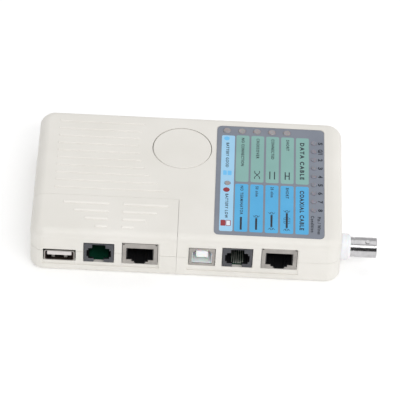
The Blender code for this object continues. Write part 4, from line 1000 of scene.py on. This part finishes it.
def coaxial_jack():
    """The bayonet jack on the right end: collar, barrel with two lugs, insulator and centre contact."""
    at = (BNC_Y, BNC_Z)
    housing = block((59, BNC_Y - 6.4, MAIN_BOARD), (69.4, BNC_Y + 6.4, 20.2), "coaxial_housing")
    collar = rod(6.2, 68, 75.9, at, "X", 72)
    nose = rod(6.2, 75.8, 76.9, at, "X", 72, tip=5.5)
    added(housing, collar, rod(6.25, RIGHT - 1, RIGHT + 1.6, at, "X", 72), nose)
    # Two shallow grooves ring the collar.
    for x in (74.6, 75.4):
        groove = rod(6.6, x, x + 0.2, at, "X", 72)
        cut(housing, cut(groove, rod(6.08, x - 1, x + 1, at, "X", 72)))
    cut(housing, rod(2.6, 60, 66.3, at, "X", 40), rod(4.9, 66.2, 80, at, "X", 72))
    placed(eased(housing, 0.1), white_acetal, "bnc_housing")
    barrel = rod(4.8, 66.5, BNC_END, at, "X", 96, name="coaxial_barrel")
    rounded(barrel, beyond(BNC_END - 0.01), 0.3, 3)
    # Two more ring the barrel: one just past the collar, and a narrow one near its mouth.
    groove = rod(5.2, 78.3, 78.8, at, "X", 96)
    cut(barrel, cut(groove, rod(4.55, 78, 79, at, "X", 96)))
    groove = rod(5.2, 87.6, 87.9, at, "X", 96)
    cut(barrel, cut(groove, rod(4.68, 87, 89, at, "X", 96)))
    cut(barrel, rod(4.05, 79, BNC_END + 1, at, "X", 72), rod(2.5, 66, 80, at, "X", 48))
    lean = math.radians(15)
    for side in (0, math.pi):
        lug = rounded(rod(1.0, 4.4, 5.55, (0, 0), sides=32), level(5.55), 0.2, 3)
        lug.rotation_euler = (lean + side, 0, 0)
        lug.location = Vector((BNC_END - 4.5, *at)) * MM
        alone(lug)
        added(barrel, settled("tool"))
    placed(eased(barrel, 0.08), bright_nickel, "bnc_barrel")
    insulator = rod(2.4, 63.5, 86.4, at, "X", 64, name="coaxial_insulator")
    rounded(insulator, beyond(86.3), 0.25, 3)
    cut(insulator, rod(1.2, 60, 90, at, "X", 48))
    placed(eased(insulator, 0), ptfe_turned, "bnc_insulator")
    pin = rod(1.05, 62, 86.0, at, "X", 40, name="coaxial_centre")
    cut(pin, rod(0.65, 81, 90, at, "X", 32))
    cut(pin, block((82, BNC_Y - 0.12, BNC_Z - 2), (88, BNC_Y + 0.12, BNC_Z + 2)))
    placed(eased(pin, 0.05), gold_flash, "bnc_center_contact")


# ---- screws, battery and inner parts


def case_screws():
    """Cross-head screws sunk in the underside. One is made, and the others are copies of it."""
    x, y = CASE_SCREWS[0]
    seat = SCREW_SEAT - 0.1
    first = rod(2.6, seat - 1.8, seat, (x, y), sides=40, name="case_screw_1_steel")
    rounded(first, level(seat - 1.8), 0.7, 5)
    shank = rod(1.25, seat - 0.5, seat + 11.5, (x, y), sides=32)
    point = rod(1.25, seat + 11.4, seat + 12.4, (x, y), tip=0.5, sides=32)
    added(first, shank, point)
    for wide, deep in ((1.5, 0.33), (0.33, 1.5)):
        cut(first, block((x - wide, y - deep, seat - 3), (x + wide, y + deep, seat - 0.8)))
    eased(first, 0.06)
    places = {f"case_screw_{k}": place for k, place in enumerate(CASE_SCREWS, 1)}
    places |= {f"remote_screw_{k}": place for k, place in enumerate(REMOTE_SCREWS, 1)}
    for node, (to_x, to_y) in places.items():
        screw = first if node == "case_screw_1" else copied(first, node + "_steel", (to_x - x, to_y - y, 0))
        placed(screw, zinc_plate, node)


def nine_volt():
    """The battery: a sleeved block with a pale band at its terminal end, and two studs."""
    low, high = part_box("battery")
    x0, y0, z0 = low / MM
    x1, y1, z1 = high / MM
    # The solid's box ends at its studs, which stand 2 mm past the block.
    x1 -= 2.0
    can = rounded(block((x0, y0, z0), (x1, y1, z1), "nine_volt_block"), along("X"), 2.0, 6)
    # A rolled seam at each end of the sleeve.
    for x in (x0 + 0.9, x1 - 1.2):
        seam = rounded(block((x, y0 - 1, z0 - 1), (x + 0.3, y1 + 1, z1 + 1)), along("X"), 2.6)
        inner = rounded(block((x - 1, y0 + 0.2, z0 + 0.2), (x + 1, y1 - 0.2, z1 - 0.2)), along("X"), 1.9)
        cut(can, cut(seam, inner))
    middle_y, middle_z = (y0 + y1) / 2, (z0 + z1) / 2
    for side, radius in ((-6.35, 2.8), (6.35, 3.6)):
        added(can, rod(radius, x1 - 1, x1 + 2, (middle_y + side, middle_z), "X", 24 if side < 0 else 6))
    placed(eased(can, 0.15), battery_sleeve, "battery")
    # Bare metal at both ends.
    refaced(can, tinned_steel, lambda at: at.x > x1 - 0.9 or at.x < x0 + 0.9)
    band = block((x1 - 14, y0 - 0.03, z0 - 0.03), (x1 - 1.4, y1 + 0.03, z1 + 0.03), "nine_volt_band")
    rounded(band, along("X"), 2.0, 6)
    cut(band, rounded(block((x1 - 20, y0 + 0.2, z0 + 0.2), (x1, y1 - 0.2, z1 - 0.2)), along("X"), 1.9, 6))
    placed(eased(band, 0), battery_band, body="main_unit")


def inner_parts():
    """Finishes for the CAD solids that stay as they are."""
    for material, nodes in (
        (gold_flash, ("main_rj45_contacts", "remote_rj45_contacts")),
        (solder_mask, ("main_board", "remote_board")),
        (chip_epoxy, ("microcontroller", "resistor_network")),
        (dark_nylon, ("switch_body", "switch_plunger", "battery_snap")),
        (zinc_plate, ("board_screw_1", "board_screw_2")),
        (red_pvc, ("lead_red",)),
        (black_pvc, ("lead_black",)),
    ):
        for node in nodes:
            mesh = frame["nodes"][node].data
            mesh.materials.clear()
            mesh.materials.append(material)


# ---- studio


def studio():
    """A white room, a paper floor and three soft lights."""
    scene = bpy.context.scene
    scene.view_settings.view_transform = "Standard"
    world = bpy.data.worlds.new("soft_white_room")
    world.use_nodes = True
    tree = world.node_tree
    way = add(tree, "ShaderNodeSeparateXYZ", {0: add(tree, "ShaderNodeTexCoord", {}).outputs["Generated"]})
    # The studio is a little brighter on the right, and dark behind the camera, which only gloss shows.
    sideways = add(tree, "ShaderNodeMath", {0: way.outputs["X"], 1: 0.17, 2: 0.645}, operation="MULTIPLY_ADD")
    front = add(tree, "ShaderNodeMapRange", {"Value": way.outputs["Y"], "From Min": -0.35, "From Max": -0.6})
    high = add(tree, "ShaderNodeMapRange", {"Value": way.outputs["Z"], "From Min": 0.84, "From Max": 0.76})
    dark = add(tree, "ShaderNodeMath", {0: front.outputs[0], 1: high.outputs[0]}, operation="MULTIPLY")
    gloss = add(tree, "ShaderNodeLightPath", {}).outputs["Is Glossy Ray"]
    share = add(tree, "ShaderNodeMath", {0: dark.outputs[0], 1: gloss}, operation="MULTIPLY")
    unshaded = add(tree, "ShaderNodeMath", {0: share.outputs[0], 1: -0.93, 2: 1.0}, operation="MULTIPLY_ADD")
    strength = add(
        tree, "ShaderNodeMath", {0: sideways.outputs[0], 1: unshaded.outputs[0]}, operation="MULTIPLY"
    )
    tree.nodes["Background"].inputs["Color"].default_value = (1.0, 1.0, 1.0, 1.0)
    tree.links.new(strength.outputs[0], tree.nodes["Background"].inputs["Strength"])
    scene.world = world

    deselect()
    bpy.ops.mesh.primitive_plane_add(size=8, location=(0, 0, -0.00005))
    floor = settled("studio_floor")
    # Seamless matt paper, almost white.
    floor.data.materials.append(surface(
        "backdrop_paper", "#FCFCFC", "#FAFAFA", (0.8, 0.9), 3, 0.02, 60,
        Emission_Color=(1.0, 1.0, 1.0, 1.0), Emission_Strength=0.14,
    ))

    for name, place, wide, tall, power in (
        ("key_softbox", (0.25, -0.75, 0.95), 1.1, 0.32, 4.4),
        ("overhead_softbox", (-0.05, 0.25, 1.2), 1.1, 1.1, 2.3),
        ("right_softbox", (0.95, -0.2, 0.5), 0.5, 0.5, 0.5),
    ):
        lamp = bpy.data.lights.new(name, "AREA")
        lamp.shape = "RECTANGLE"
        lamp.size = wide
        lamp.size_y = tall
        lamp.energy = power
        light = bpy.data.objects.new(name, lamp)
        scene.collection.objects.link(light)
        light.location = place
        aim = Vector((0.0, 0.0, 0.01)) - light.location
        light.rotation_euler = aim.to_track_quat("-Z", "Y").to_euler()


def camera():
    """A long lens that looks down on the tester from the front, turned a little on its axis."""
    elevation, azimuth, roll = math.radians(43.913), math.radians(-0.538), math.radians(3.083)
    target, distance = Vector((5.772, -2.694, 12.0)), 1410.17
    reach = math.cos(elevation)
    back = Vector((math.sin(azimuth) * reach, -math.cos(azimuth) * reach, math.sin(elevation)))
    right = (-back).cross(Vector((0, 0, 1))).normalized()
    up = right.cross(-back)
    across = math.cos(roll) * right + math.sin(roll) * up
    upright = -math.sin(roll) * right + math.cos(roll) * up
    data = bpy.data.cameras.new("studio_camera")
    data.sensor_width = 36.0
    data.lens = 266.53
    data.clip_start = 0.05
    data.clip_end = 20.0
    eye = bpy.data.objects.new("studio_camera", data)
    bpy.context.scene.collection.objects.link(eye)
    eye.matrix_world = Matrix.Translation((target + back * distance) * MM) @ Matrix(
        (across, upright, back)
    ).transposed().to_4x4()
    bpy.context.scene.camera = eye


main_top_shell()
main_bottom_shell()
remote_top_shell()
remote_bottom_shell()
battery_door()
button_cap()
label_film()
fields()
legends()
battery_marks()
lamps()
modular_sockets()
flat_port()
square_port()
coaxial_jack()
case_screws()
nine_volt()
inner_parts()
studio()
camera()
